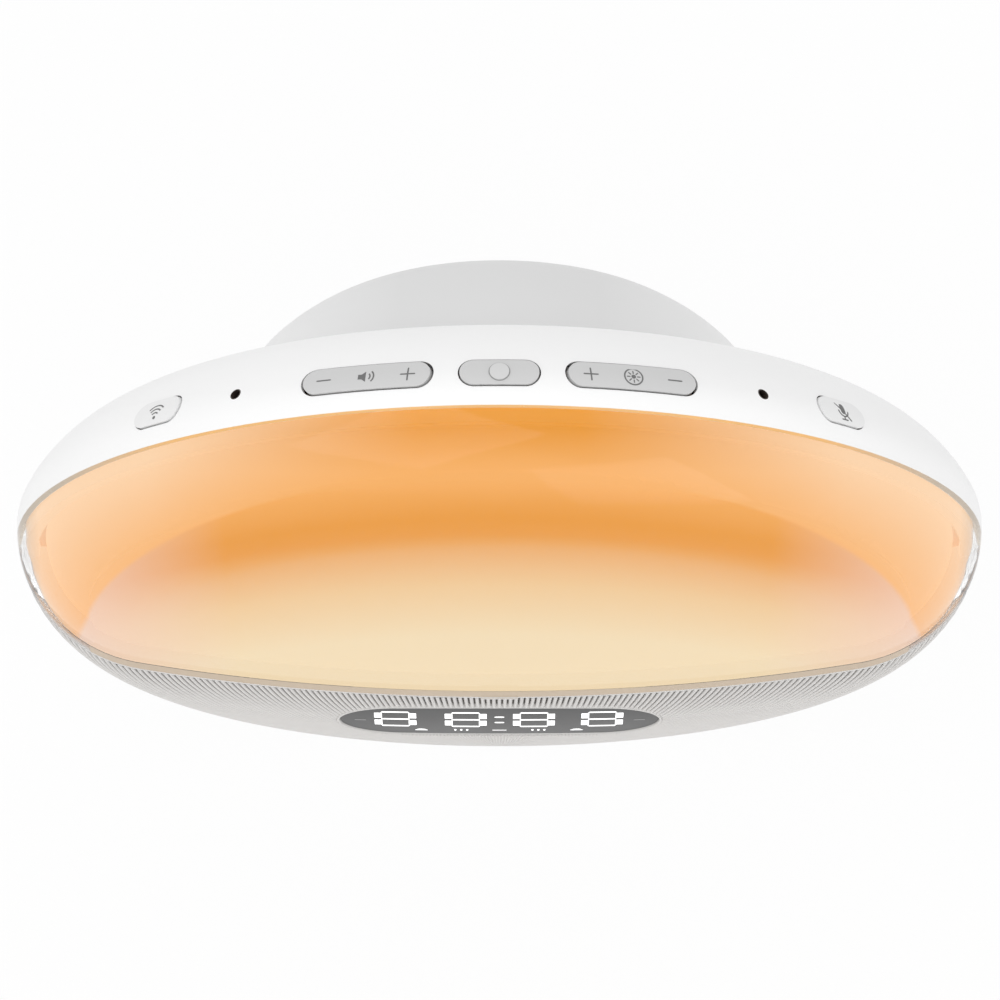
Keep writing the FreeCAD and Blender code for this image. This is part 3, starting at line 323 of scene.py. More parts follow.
def smooth_copy(node, name, angle=32.0):
    """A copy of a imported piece, merged and smooth shaded, with its edges kept sharp."""
    mesh = frame["nodes"][node].data.copy()
    mesh.materials.clear()
    shape = bmesh.new()
    shape.from_mesh(mesh)
    bmesh.ops.remove_doubles(shape, verts=shape.verts, dist=MERGE_DISTANCE)
    bmesh.ops.dissolve_degenerate(shape, edges=shape.edges, dist=MERGE_DISTANCE)
    hubs = [v for v in shape.verts if len(v.link_faces) > FAN_FACES]
    bmesh.ops.dissolve_verts(shape, verts=hubs)
    limit = math.radians(angle)
    for face in shape.faces:
        face.smooth = True
    for edge in shape.edges:
        edge.smooth = len(edge.link_faces) == 2 and edge.calc_face_angle(0.0) < limit
    shape.to_mesh(mesh)
    shape.free()
    return link(name, mesh)


def dress(obj, material):
    """Give a piece one material only."""
    obj.data.materials.clear()
    obj.data.materials.append(material)


def finish(obj, material, body, slot, *nodes):
    """Give a piece its material and its body, and hide the nodes that it stands for; the slot is not used.
    """
    dress(obj, material)
    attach(obj, body)
    if nodes:
        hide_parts(*nodes)


def slab(name, outline, place, thickness, cell):
    """A closed plate over an outline, cut into cells so that it bends with place(a, b, height)."""
    shape = bmesh.new()
    shape.faces.new([shape.verts.new((a, b, 0.0)) for a, b in outline])
    for axis in (0, 1):
        reach = [v.co[axis] for v in shape.verts]
        normal = Vector((1 - axis, axis, 0.0))
        first = min(reach)
        for i in range(1, math.ceil((max(reach) - first) / cell)):
            geometry = [*shape.verts, *shape.edges, *shape.faces]
            point = normal * (first + i * cell)
            bmesh.ops.bisect_plane(shape, geom=geometry, plane_co=point, plane_no=normal)
    made = bmesh.ops.extrude_face_region(shape, geom=list(shape.faces), use_keep_orig=True)
    raised = {v for v in made["geom"] if isinstance(v, bmesh.types.BMVert)}
    for vertex in shape.verts:
        vertex.co = place(vertex.co.x, vertex.co.y, thickness if vertex in raised else 0.0)
    mesh = bpy.data.meshes.new(name)
    shape.to_mesh(mesh)
    shape.free()
    return link(name, mesh)


def joined(name, pieces):
    """One object from several, all at the origin."""
    shape = bmesh.new()
    for piece in pieces:
        shape.from_mesh(piece.data)
        bpy.data.objects.remove(piece)
    mesh = bpy.data.meshes.new(name)
    shape.to_mesh(mesh)
    shape.free()
    return outwards(link(name, mesh))


def bar(a, b, width, round_steps=6):
    """The outline of a bar with round ends between two points."""
    start = Vector(a)
    end = Vector(b)
    turn = math.atan2(end.y - start.y, end.x - start.x)
    outline = []
    for centre, first in ((end, turn - math.pi / 2), (start, turn + math.pi / 2)):
        for i in range(round_steps + 1):
            angle = first + math.pi * i / round_steps
            outline.append((centre.x + width / 2 * math.cos(angle), centre.y + width / 2 * math.sin(angle)))
    return outline


def level_bar(x, z, half_length, width):
    """The outline of a level bar with round ends about a place."""
    return bar((x - half_length, z), (x + half_length, z), width)


def block(x, z, low_half, high_half, half_height):
    """The outline of a square-ended block about a place, its lower and upper sides of their own length."""
    return [
        (x - low_half, z - half_height), (x + low_half, z - half_height),
        (x + high_half, z + half_height), (x - high_half, z + half_height),
    ]


def arc_band(centre, radius, start, end, width, steps=24):
    """The outline of a band along an arc, its angles in degrees."""
    outline = []
    for side, angles in ((0.5, range(steps + 1)), (-0.5, range(steps, -1, -1))):
        for i in angles:
            angle = math.radians(start + (end - start) * i / steps)
            r = radius + side * width
            outline.append((centre[0] + r * math.cos(angle), centre[1] + r * math.sin(angle)))
    return outline


def circle(centre, radius, steps=28):
    """The outline of a full circle."""
    turns = [2 * math.pi * i / steps for i in range(steps)]
    return [(centre[0] + radius * math.cos(turn), centre[1] + radius * math.sin(turn)) for turn in turns]


def ring_bands(centre, radius, width):
    """A ring as two half bands."""
    return [arc_band(centre, radius, start, start + 180, width) for start in (0, 180)]


# Materials

class Value:
    """A shader socket that can be added, multiplied and compared like a number."""

    def __init__(self, shader, socket):
        self.shader = shader
        self.socket = socket

    def maths(self, operation, *others):
        return self.shader.node("ShaderNodeMath", {"operation": operation}, self, *others)

    def __add__(self, other):
        return self.maths("ADD", other)

    __radd__ = __add__

    def __sub__(self, other):
        return self.maths("SUBTRACT", other)

    def __rsub__(self, other):
        return self.shader.node("ShaderNodeMath", {"operation": "SUBTRACT"}, other, self)

    def __mul__(self, other):
        return self.maths("MULTIPLY", other)

    __rmul__ = __mul__

    def __truediv__(self, other):
        return self.maths("DIVIDE", other)

    def __pow__(self, other):
        return self.maths("POWER", other)


class Shader:
    """A material with a Principled shader, and short ways to build what feeds it."""

    def __init__(self, name):
        self.material = bpy.data.materials.new(name)
        self.material.use_nodes = True
        self.tree = self.material.node_tree
        self.tree.nodes.clear()
        self.output = self.tree.nodes.new("ShaderNodeOutputMaterial")
        self.principled = self.tree.nodes.new("ShaderNodeBsdfPrincipled")
        self.tree.links.new(self.principled.outputs[0], self.output.inputs["Surface"])

    @classmethod
    def of(cls, material):
        """The short ways for a material that exists."""
        shader = cls.__new__(cls)
        shader.material = material
        shader.tree = material.node_tree
        shader.principled = shader.tree.nodes["Principled BSDF"]
        return shader

    def put(self, socket, value):
        if isinstance(value, Value):
            self.tree.links.new(value.socket, socket)
        elif socket.type == "RGBA" and len(value) == 3:
            socket.default_value = (*value, 1.0)
        else:
            socket.default_value = value

    def node(self, kind, settings=None, *values, out=0, **named):
        """A node of any type: its settings first, then its sockets by place or by name."""
        node = self.tree.nodes.new(kind)
        for key, value in (settings or {}).items():
            setattr(node, key, value)
        for socket, value in zip(node.inputs, values):
            self.put(socket, value)
        for name, value in named.items():
            self.put(node.inputs[name.replace("_", " ")], value)
        return Value(self, node.outputs[out])

    def set(self, **named):
        """Set or link the Principled shader's own sockets."""
        for name, value in named.items():
            self.put(self.principled.inputs[name.replace("_", " ")], value)
        return self

    def place(self):
        """Object coordinates."""
        return self.node("ShaderNodeTexCoord", None, out=3)

    def noise(self, scale, detail=2.0):
        """Grain that doesn't depend on the piece's size."""
        return self.node("ShaderNodeTexNoise", None, self.place(), Scale=scale, Detail=detail)

    def parts(self):
        """The x, y and z of Object coordinates."""
        node = self.tree.nodes.new("ShaderNodeSeparateXYZ")
        self.put(node.inputs[0], self.place())
        return [Value(self, node.outputs[i]) for i in range(3)]

    def levels(self, value, stops):
        """A colour ramp over a value, its stops given as values and colours."""
        low = stops[0][0]
        reach = stops[-1][0] - low
        node = self.tree.nodes.new("ShaderNodeValToRGB")
        self.put(node.inputs[0], (value - low) / reach)
        elements = node.color_ramp.elements
        while len(elements) < len(stops):
            elements.new(0.5)
        for element, (place, colour) in zip(elements, stops):
            element.position = (place - low) / reach
            element.color = (*colour, 1.0)
        return Value(self, node.outputs[0])

    def mix(self, factor, a, b):
        """A mix of two colours."""
        node = self.tree.nodes.new("ShaderNodeMix")
        node.data_type = "RGBA"
        self.put(node.inputs[0], factor)
        self.put(node.inputs[6], a)
        self.put(node.inputs[7], b)
        return Value(self, node.outputs[2])

    def tint(self, mask, colour):
        """Lay a colour from 0 to 255 over the piece's own where mask is 1."""
        own = Value(self, self.principled.inputs["Base Color"].links[0].from_socket)
        self.set(Base_Color=self.mix(mask, own, linear(colour)))

    def bump(self, height, strength, distance):
        """A bump on the Normal socket."""
        bump = self.node("ShaderNodeBump", None, Height=height, Strength=strength, Distance=distance)
        return self.set(Normal=bump)


def moulded(name, colour, roughness, grain=0.0, change=0.02, coat=0.0):
    """Moulded plastic or rubber: a faint drift of colour, fine grain in its roughness and surface."""
    shader = Shader(name)
    drift = shader.noise(DRIFT_SCALE)
    fine = shader.noise(GRAIN_SCALE, 3.0)
    base = linear(colour)
    dark = [v * (1 - change) for v in base]
    light = [min(v * (1 + change), 1.0) for v in base]
    shader.set(Base_Color=shader.mix(drift, dark, light))
    shader.set(Roughness=roughness + (fine - 0.5) * 0.08)
    if coat:
        shader.set(Coat_Weight=coat, Coat_Roughness=0.12)
    if grain:
        shader.bump(fine, grain, GRAIN_DEPTH)
    return shader.material


def metal(name, colour, roughness):
    """Plated metal with fine brushed lines."""
    shader = Shader(name)
    lines = shader.noise(BRUSH_SCALE, 4.0)
    shader.set(Base_Color=shader.mix(lines, [v * 0.9 for v in linear(colour)], linear(colour)))
    shader.set(Metallic=1.0, Roughness=roughness + (lines - 0.5) * 0.12)
    return shader.material


def board(name, colour):
    """A coated circuit board with faint tracks under its coating."""
    shader = Shader(name)
    x, _, z = shader.parts()
    track = (x * TRACK_SCALE).maths("SINE") * (z * TRACK_SCALE).maths("SINE")
    mask = track.maths("GREATER_THAN", 0.55)
    base = linear(colour)
    shader.set(Base_Color=shader.mix(mask, base, [min(v * 1.35, 1.0) for v in base]))
    shader.set(Roughness=0.35 + shader.noise(COATING_SCALE) * 0.1, Coat_Weight=0.4, Coat_Roughness=0.1)
    return shader.material


def clear_cover():
    """The clear, polished cover of the lit face, with a painted grey reflection where its rim is seen edge
    on.
    """
    shader = Shader("clear_cover")
    x = shader.parts()[0]
    # Painted reflection: the colour turns grey towards the rim, where it is seen edge on
    rim = past(x, COVER_RIM_START, COVER_RIM_REACH)
    shader.set(Base_Color=shader.mix(rim, (1.0, 1.0, 1.0), linear(COVER_RIM_REFLECTION)))
    shader.set(IOR=1.04, Transmission_Weight=1.0, Coat_Weight=0.3, Coat_Roughness=0.03)
    shader.set(Roughness=0.01 + shader.noise(COVER_SCALE) * 0.008)
    return shader.material


def clamp(value):
    """A value kept between 0 and 1."""
    return value.maths("MAXIMUM", 0.0).maths("MINIMUM", 1.0)


def past(x, start, reach):
    """How far x lies past start on either side, both in millimetres, as a share of reach."""
    return clamp(((x / MM).maths("ABSOLUTE") - start) / reach)


def shown(colour):
    """The light that shows as a colour, less what the cover and the room add to it."""
    return [max(v * SHOWN_SHARE - added, 0.0) for v, added in zip(linear(colour), ROOM_LIGHT)]


def glow():
    """The warm light, with painted shade of the panel's step: orange under the step, cream at the middle,
    pale at the sides.
    """
    shader = Shader("opal_glow")
    props = bpy.context.scene.clock_light
    x, y, z = shader.parts()
    side = (x / MM).maths("ABSOLUTE")
    lean = math.radians(CAMERA_TILT)
    rise = ((y - CENTRE_Y) * math.cos(lean) + (z - CENTRE_Z) * math.sin(lean)) / MM
    # Painted shade: the orange at and under the step, and the band above the arc, stand for the step's
    # shade over the panel's real glow
    inner = shader.levels(rise + side * side * GLOW_BOW, [
        (CREAM_RISE, shown(props.cream)), (SAND_RISE, shown(SAND)), (STEP_SHADE_RISE, shown(props.deep)),
        (STEP_SHADE_TOP, shown(props.deep)), (BAND_RISE, shown(BAND)),
    ])
    inner = shader.mix(clamp((side - BLUSH_START) / BLUSH_REACH), inner, shown(BLUSH))
    outer = shader.levels(rise, [
        (BAND_TOP, shown(BAND)), (SHADE_RISE, shown(props.deep)), (RIM_RISE, shown(RIM)),
    ])
    over = (rise + ARC_DROP) / ARC_HALF_RISE
    wide = side / ARC_HALF_WIDTH
    step = (wide * wide + over * over) ** 0.5
    away = SHADE_LEAST + (1 - SHADE_LEAST) * clamp((step - 1.0) / SHADE_REACH)
    pale = clamp((side - PEACH_START) / PEACH_REACH) * away
    outer = shader.mix(pale, outer, shown(PEACH))
    soft = STEP_SOFT + STEP_FADE * clamp(1.0 - side / STEP_FADE_REACH)
    colour = shader.mix(clamp((step - 1.0) / soft + 0.5), inner, outer)
    shader.set(Base_Color=linear((60, 44, 32)), Roughness=0.6, Specular_IOR_Level=0.05)
    shader.set(Emission_Color=colour, Emission_Strength=props.strength)
    return shader.material


def edge_light():
    """Painted glow on the cut edges of the clear cover, standing for the light they carry to the seam."""
    shader = Shader("edge_light")
    x, _, z = shader.parts()
    far = past(x, EDGE_FADE_START, EDGE_FADE_REACH)
    low = clamp((CENTRE_Z - z) / MM)
    colour = shader.mix(low, shader.mix(far, shown(TOP_EDGE), shown(FAR_EDGE)), shown(LOW_EDGE))
    shader.set(Base_Color=linear((90, 84, 78)), Roughness=0.5 + shader.noise(COVER_SCALE) * 0.05)
    shader.set(Emission_Color=colour, Emission_Strength=0.9)
    return shader.material


def perforated():
    """The dark sheet behind the ribs, with rows of pale punched bridges."""
    shader = Shader("perforated_sheet")
    z = shader.parts()[2]
    rows = ((z / SHEET_ROW) * math.pi).maths("SINE").maths("ABSOLUTE")
    mask = rows.maths("GREATER_THAN", SHEET_BRIDGE)
    shader.set(Base_Color=shader.mix(mask, linear((128, 125, 122)), linear((186, 183, 180))))
    shader.set(Roughness=0.7 + shader.noise(SHEET_SCALE) * 0.1, Specular_IOR_Level=0.0)
    return shader.material


def smoked():
    """The dark polished window, a little paler towards its lower edge."""
    shader = Shader("smoked_window")
    z = shader.parts()[2]
    tone = shader.levels(z, [(WINDOW_LOW.z, linear((98, 98, 98))), (WINDOW_HIGH.z, linear((64, 64, 64)))])
    shader.set(Base_Color=tone, Roughness=0.3 + shader.noise(WINDOW_SCALE) * 0.04, Specular_IOR_Level=0.05)
    return shader.material


def lit(name, colour, strength):
    """A light-emitting mark."""
    shader = Shader(name)
    light = shader.mix(shader.noise(LIGHT_SCALE) * 0.1, linear(colour), (1, 1, 1))
    shader.set(Base_Color=linear(colour), Roughness=0.5)
    shader.set(Emission_Color=light, Emission_Strength=strength)
    return shader.material


def white_shell():
    """The white housing, with painted shade inside its two microphone bores."""
    material = moulded("white_shell_finish", (249, 249, 249), 0.42, grain=0.05, change=0.01)
    shader = Shader.of(material)
    middle = sum(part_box("mic_seal_right"), Vector()) / 2
    turn = math.atan2(abs(middle.x), middle.z - CENTRE_Z)
    x, y, z = shader.parts()
    across = x.maths("ABSOLUTE") * math.cos(turn) - (z - CENTRE_Z) * math.sin(turn)
    along = y - middle.y
    # Painted shade: the housing's colour turns dark inside the two microphone bores
    bore_painted_shade = ((across * across + along * along) ** 0.5).maths("LESS_THAN", BORE_RADIUS)
    near = x.maths("ABSOLUTE").maths("GREATER_THAN", BORE_LEAST_X)
    shader.tint(bore_painted_shade * near, (70, 60, 54))
    return material


def grey_cover():
    """The grey dome, with painted light making it a little paler towards its sides."""
    material = moulded("grey_cover_finish", (226, 226, 226), 0.5, grain=0.08, change=0.015)
    shader = Shader.of(material)
    # Painted light: the dome's colour turns paler towards its flanks
    shader.tint(past(shader.parts()[0], FLANK_START, FLANK_REACH), (244, 244, 244))
    return material


# Settings

def length(name, description, default):
    """A setting that is a length in metres."""
    return bpy.props.FloatProperty(
        name=name, description=description, default=default, subtype="DISTANCE", unit="LENGTH")


def tone(name, description, default):
    """A setting that is a colour from 0 to 255."""
    return bpy.props.FloatVectorProperty(
        name=name, description=description, default=default, size=3, min=0.0, max=255.0)


class ClockLight(bpy.types.PropertyGroup):
    """The colours of the lit face."""
    strength: bpy.props.FloatProperty(
        name="Strength", description="How bright the lit face is", default=1.0, min=0.0)
    cream: tone("Middle", "Colour at the middle of the lit face, 0 to 255", (242.0, 218.0, 177.0))
    # Painted shade: the step's colour stands for the shade of the panel's step
    deep: tone("Step", "Colour under the step of the lit face, 0 to 255", (235.0, 157.0, 78.0))


class ClockGrille(bpy.types.PropertyGroup):
    """The ribs of the speaker front."""
    pitch: length("Pitch", "Distance between two ribs at the seam", 1.4 * MM)
    width: length("Width", "Width of a rib", 0.8 * MM)
    height: length("Height", "How far a rib stands off the sheet behind it", 1.2 * MM)
    margin: length("Margin", "Plain band left at the seam and round the window", 0.8 * MM)


class ClockMarks(bpy.types.PropertyGroup):
    """The marks on the buttons and the display."""
    line: length("Line", "Width of a line in a mark", 0.32 * MM)
    proud: length("Proud", "How far a mark stands off its surface", 0.04 * MM)
    ink: tone("Ink", "Colour of the button marks, 0 to 255", (112.0, 112.0, 112.0))


class ClockStage(bpy.types.PropertyGroup):
    """The lamps round the clock."""
    key: bpy.props.FloatProperty(
        name="Key", description="Power of the large lamp above", default=5.0, unit="POWER")
    front: bpy.props.FloatProperty(
        name="Front", description="Power of the lamp in front", default=3.0, unit="POWER")
    world: bpy.props.FloatProperty(
        name="World", description="Strength of the even light all round", default=0.85)


# Operators

class CLOCK_OT_shells(bpy.types.Operator):
    """The white rim housing, the grey rear cover, the base plate and the foot"""
    bl_idname = "clock.shells"
    bl_label = "Housing shells"

    def execute(self, context):
        white = white_shell()
        grey = grey_cover()
        finish(smooth_copy("rim_housing", "rim_housing_shell"), white, "root", "white_shell", "rim_housing")
        finish(smooth_copy("base_plate", "base_plate_shell"), white, "root", "white_shell", "base_plate")
        finish(smooth_copy("rear_cover", "rear_cover_shell"), grey, "root", "grey_cover", "rear_cover")
        rubber = moulded("foot_rubber", (96, 96, 96), 0.8, grain=0.3, change=0.05)
        finish(smooth_copy("rubber_foot", "rubber_foot_pad"), rubber, "root", "grey_rubber", "rubber_foot")
        return {"FINISHED"}


class CLOCK_OT_lit_face(bpy.types.Operator):
    """The clear cover and the glowing opal panel behind it"""
    bl_idname = "clock.lit_face"
    bl_label = "Lit face"

    def execute(self, context):
        warm = glow()
        cover = smooth_copy("front_lens", "clear_front_cover")
        finish(cover, clear_cover(), "root", "clear_lens", "front_lens")
        # The cover's cut back and lower faces take the painted edge glow
        cover.data.materials.append(edge_light())
        for polygon in cover.data.polygons:
            back = polygon.normal.y > FACES_BACK and polygon.center.y > LENS_HIGH.y - FLAT_TOLERANCE
            cut = polygon.normal.z < FACES_DOWN and polygon.center.z < CENTRE_Z
            if back or cut:
                polygon.material_index = 1
        finish(smooth_copy("diffuser", "opal_panel", angle=50.0), warm, "root", "lit_diffuser", "diffuser")
        # Painted glow: the rubber seal and the shelf are no lamps but take the lit panel's glowing material
        finish(smooth_copy("lens_seal", "lit_seal_ring"), warm, "root", "grey_rubber", "lens_seal")
        finish(smooth_copy("light_shelf", "lit_shelf"), warm, "root", "white_inner", "light_shelf")
        return {"FINISHED"}


def seam_height(x, drop=0.0):
    """The seam's height over the disc's centre at x, lowered by drop."""
    return SEAM_CENTRE - math.sqrt((SEAM_RADIUS + drop) ** 2 - x ** 2)


def in_window(x, z, margin):
    """Whether a place of the front is inside the window's opening, grown by margin."""
    half = WINDOW_HEIGHT / 2 + margin
    straight = (WINDOW_LENGTH - WINDOW_HEIGHT) / 2
    across = max(abs(x) - straight, 0.0)
    return across ** 2 + (z + WINDOW_DROP) ** 2 < half ** 2


def rib_lines(pitch, margin, step=1.0 * MM):
    """The ribs' centre lines on the front surface, cut at the seam, the window and the rim."""
    count = int(RIB_SPREAD / pitch)
    lines = []
    for i in range(-count, count + 1):
        spread = i * pitch
        line = []
        z = 0.0
        while z > BASE_TOP:
            x = spread * math.sqrt(1 - (z / RIB_POLE) ** 2)
            depth = front_depth(min(math.hypot(x, z), DISC_RADIUS))
            inside = (
                math.hypot(x, z) < DISC_RADIUS and -depth < SEAM_Y - margin
                and z < seam_height(x, margin) and not in_window(x, z, margin)
            )
            if inside:
                line.append((x, z))
            else:
                lines.append(line)
                line = []
            z -= step
        lines.append(line)
    return [line for line in lines if len(line) > 1]


def rib_tree(material):
    """Geometry Nodes that give every line of the mesh the section of a rib."""
    tree = bpy.data.node_groups.new("rib_sections", "GeometryNodeTree")
    for name, side, kind in (
        ("Geometry", "INPUT", "Geometry"), ("Rib width", "INPUT", "Float"),
        ("Rib height", "INPUT", "Float"), ("Geometry", "OUTPUT", "Geometry"),
    ):
        tree.interface.new_socket(name, in_out=side, socket_type="NodeSocket" + kind)
    start, end, curve, tilt, section, corner, tube, realize, paint, normal = (
        tree.nodes.new(kind) for kind in (
            "NodeGroupInput", "NodeGroupOutput", "GeometryNodeMeshToCurve", "GeometryNodeSetCurveNormal",
            "GeometryNodeCurvePrimitiveQuadrilateral", "GeometryNodeFilletCurve", "GeometryNodeCurveToMesh",
            "GeometryNodeRealizeInstances", "GeometryNodeSetMaterial", "GeometryNodeInputNamedAttribute",
        )
    )
    normal.data_type = "FLOAT_VECTOR"
    normal.inputs["Name"].default_value = "away"
    tilt.mode = "FREE"
    corner.mode = "POLY"
    corner.inputs["Count"].default_value = 1
    corner.inputs["Radius"].default_value = RIB_FILLET
    tube.inputs["Fill Caps"].default_value = True
    paint.inputs["Material"].default_value = material
    # The section's width points away from the surface, and its height lies across the rib
    for source, target in (
        (start.outputs["Geometry"], curve.inputs["Mesh"]),
        (curve.outputs[0], tilt.inputs["Curve"]),
        (normal.outputs[0], tilt.inputs["Normal"]),
        (start.outputs["Rib width"], section.inputs["Height"]),
        (start.outputs["Rib height"], section.inputs["Width"]),
        (section.outputs[0], corner.inputs["Curve"]),
        (tilt.outputs[0], tube.inputs["Curve"]),
        (corner.outputs[0], tube.inputs["Profile Curve"]),
        (tube.outputs[0], realize.inputs[0]),
        (realize.outputs[0], paint.inputs["Geometry"]),
        (paint.outputs[0], end.inputs[0]),
    ):
        tree.links.new(source, target)
    return tree


def rib_object(name, lines, inset, width, height, material):
    """Ribs along lines of the front surface, as a plain mesh."""
    points = []
    edges = []
    away = []
    for line in lines:
        first = len(points)
        for x, z in line:
            points.append(tuple(front_point(x, z, inset)))
            root = front_point(x * RIB_ROOT_SHARE, z * RIB_ROOT_SHARE, RIB_DEPTH)
            away.append((front_point(x, z) - root).normalized())
        edges += [(i, i + 1) for i in range(first, len(points) - 1)]
    mesh = bpy.data.meshes.new(name)
    mesh.from_pydata(points, edges, [])
    attribute = mesh.attributes.new("away", "FLOAT_VECTOR", "POINT")
    attribute.data.foreach_set("vector", [v for normal in away for v in normal])
    lined = link(name + "_lines", mesh)
    modifier = lined.modifiers.new("ribs", "NODES")
    modifier.node_group = rib_tree(material)
    sizes = {"Rib width": width, "Rib height": height}
    for item in modifier.node_group.interface.items_tree:
        if item.name in sizes:
            modifier[item.identifier] = sizes[item.name]
    bpy.context.view_layer.update()
    shaped = bpy.data.meshes.new_from_object(lined.evaluated_get(bpy.context.evaluated_depsgraph_get()))
    shaped.name = name
    bpy.data.objects.remove(lined)
    for polygon in shaped.polygons:
        polygon.use_smooth = False
    return link(name, shaped)


class CLOCK_OT_grille(bpy.types.Operator):
    """The fine tapering ribs, the plain edges round them and the dark sheet behind"""
    bl_idname = "clock.grille"
    bl_label = "Speaker grille"

    def execute(self, context):
        props = context.scene.clock_grille
        material = moulded("rib_finish", (218, 216, 214), 0.6, change=0.01)
        Shader.of(material).set(Specular_IOR_Level=0.15)
        lines = rib_lines(props.pitch, props.margin)
        ribs = rib_object("speaker_ribs", lines, props.height / 2, props.width, props.height, material)
        finish(ribs, material, "root", "grille_grey")
        strips = [seam_band(props), window_band(props), rim_band(props), seam_tab()]
        edges = joined("speaker_front_edges", strips)
        finish(edges, material, "root", "grille_grey", "speaker_grille")
        sheet = backing_sheet(props.height)
        finish(sheet, perforated(), "root", "dark_mesh", "speaker_mesh")
        return {"FINISHED"}


def band(name, rows, thickness):
    """A closed strip: rows are pairs of (x, z) places across it, its front on the front surface."""
    points = []
    for a, b in rows:
        points += [front_point(*a), front_point(*b), front_point(*b, thickness), front_point(*a, thickness)]
    faces = []
    for i in range(len(rows) - 1):
        for k in range(4):
            j = (k + 1) % 4
            faces.append([4 * i + k, 4 * i + j, 4 * i + 4 + j, 4 * i + 4 + k])
    last = 4 * len(rows) - 4
    faces += [[3, 2, 1, 0], [last, last + 1, last + 2, last + 3]]
    return mesh_object(name, points, faces)


def seam_band(props, steps=160):
    """The plain edge that runs under the seam."""
    rows = []
    for i in range(steps + 1):
        x = EDGE_REACH * (2 * i / steps - 1)
        rows.append(((x, seam_height(x, EDGE_GAP)), (x, seam_height(x, props.margin + EDGE_LAP))))
    return band("seam_edge", rows, EDGE_THICKNESS)


def seam_tab():
    """The small lip that stands off the middle of the seam."""
    level = seam_height(0, TAB_DROP)
    outline = bar((-TAB_HALF_LENGTH, level), (TAB_HALF_LENGTH, level), TAB_WIDTH)

    def place(a, b, height):
        return front_point(a, b, TAB_ROOT - height)
    return slab("seam_tab", outline, place, TAB_HEIGHT, TAB_CELL)


def window_band(props, steps=120):
    """The plain edge round the display's opening."""
    straight = (WINDOW_LENGTH - WINDOW_HEIGHT) / 2
    inner = WINDOW_HEIGHT / 2 + WINDOW_GAP
    outer = WINDOW_HEIGHT / 2 + props.margin + EDGE_GAP
    rows = []
    for i in range(steps):
        turn = 2 * math.pi * i / steps
        shift = straight if math.cos(turn) > 0 else -straight
        pair = []
        for r in (inner, outer):
            pair.append((shift + r * math.cos(turn), -WINDOW_DROP + r * math.sin(turn)))
        rows.append(tuple(pair))
    rows.append(rows[0])
    return band("window_edge", rows, EDGE_THICKNESS)


def rim_band(props, steps=160):
    """The plain edge along the rim, from one end of the seam to the other round the bottom."""
    end = math.degrees(math.asin(min(-BASE_TOP / DISC_RADIUS, 1.0)))
    radii = (rim_front(SEAM_Y), rim_front(SEAM_Y - props.margin))
    parts = []
    for start, stop in ((180.0 + SEAM_END_ANGLE, 180.0 + end), (360.0 - SEAM_END_ANGLE, 360.0 - end)):
        rows = []
        for i in range(steps + 1):
            turn = math.radians(start + (stop - start) * i / steps)
            rows.append(tuple((radius * math.cos(turn), radius * math.sin(turn)) for radius in radii))
        parts.append(band("rim_edge_part", rows, EDGE_THICKNESS))
    return joined("rim_edge", parts)


def rim_front(y):
    """The disc's radius at a depth y before its mid plane, on the rolled edge."""
    return EDGE_CENTRE + math.sqrt(EDGE_RADIUS ** 2 - y ** 2)


def backing_sheet(inset, steps=150, rings=60):
    """The sheet behind the ribs, cut out for the window."""
    grid = []
    for j in range(rings + 1):
        row = []
        for i in range(steps + 1):
            x = SHEET_REACH * (2 * i / steps - 1)
            top = seam_height(x, SHEET_SEAM_GAP)
            limit = math.sqrt(max((DISC_RADIUS - SHEET_RIM_GAP) ** 2 - x ** 2, 0.0))
            low = max(-limit, BASE_TOP + SHEET_BASE_GAP)
            if low > top:
                row.append(None)
                continue
            row.append((x, top + (low - top) * j / rings))
        grid.append(row)
    verts = []
    index = {}
    for layer, depth in ((0, inset), (1, inset + SHEET_THICKNESS)):
        for j, row in enumerate(grid):
            for i, place in enumerate(row):
                if place is not None:
                    index[layer, j, i] = len(verts)
                    verts.append(front_point(*place, depth))
    cells = []
    for j in range(rings):
        for i in range(steps):
            corners = [(j, i), (j, i + 1), (j + 1, i + 1), (j + 1, i)]
            places = [grid[a][b] for a, b in corners]
            if None not in places and not any(in_window(x, z, -SHEET_WINDOW_LAP) for x, z in places):
                cells.append(corners)
    faces = []
    borders = {}
    for corners in cells:
        faces.append([index[0, a, b] for a, b in corners])
        faces.append([index[1, a, b] for a, b in corners][::-1])
        for k in range(4):
            a = corners[k]
            b = corners[(k + 1) % 4]
            borders.setdefault(tuple(sorted((a, b))), []).append((a, b))
    for found in borders.values():
        if len(found) == 1:
            a, b = found[0]
            faces.append([index[layer, *corner] for layer, corner in ((0, b), (0, a), (1, a), (1, b))])
    return outwards(mesh_object("perforated_sheet", verts, faces))


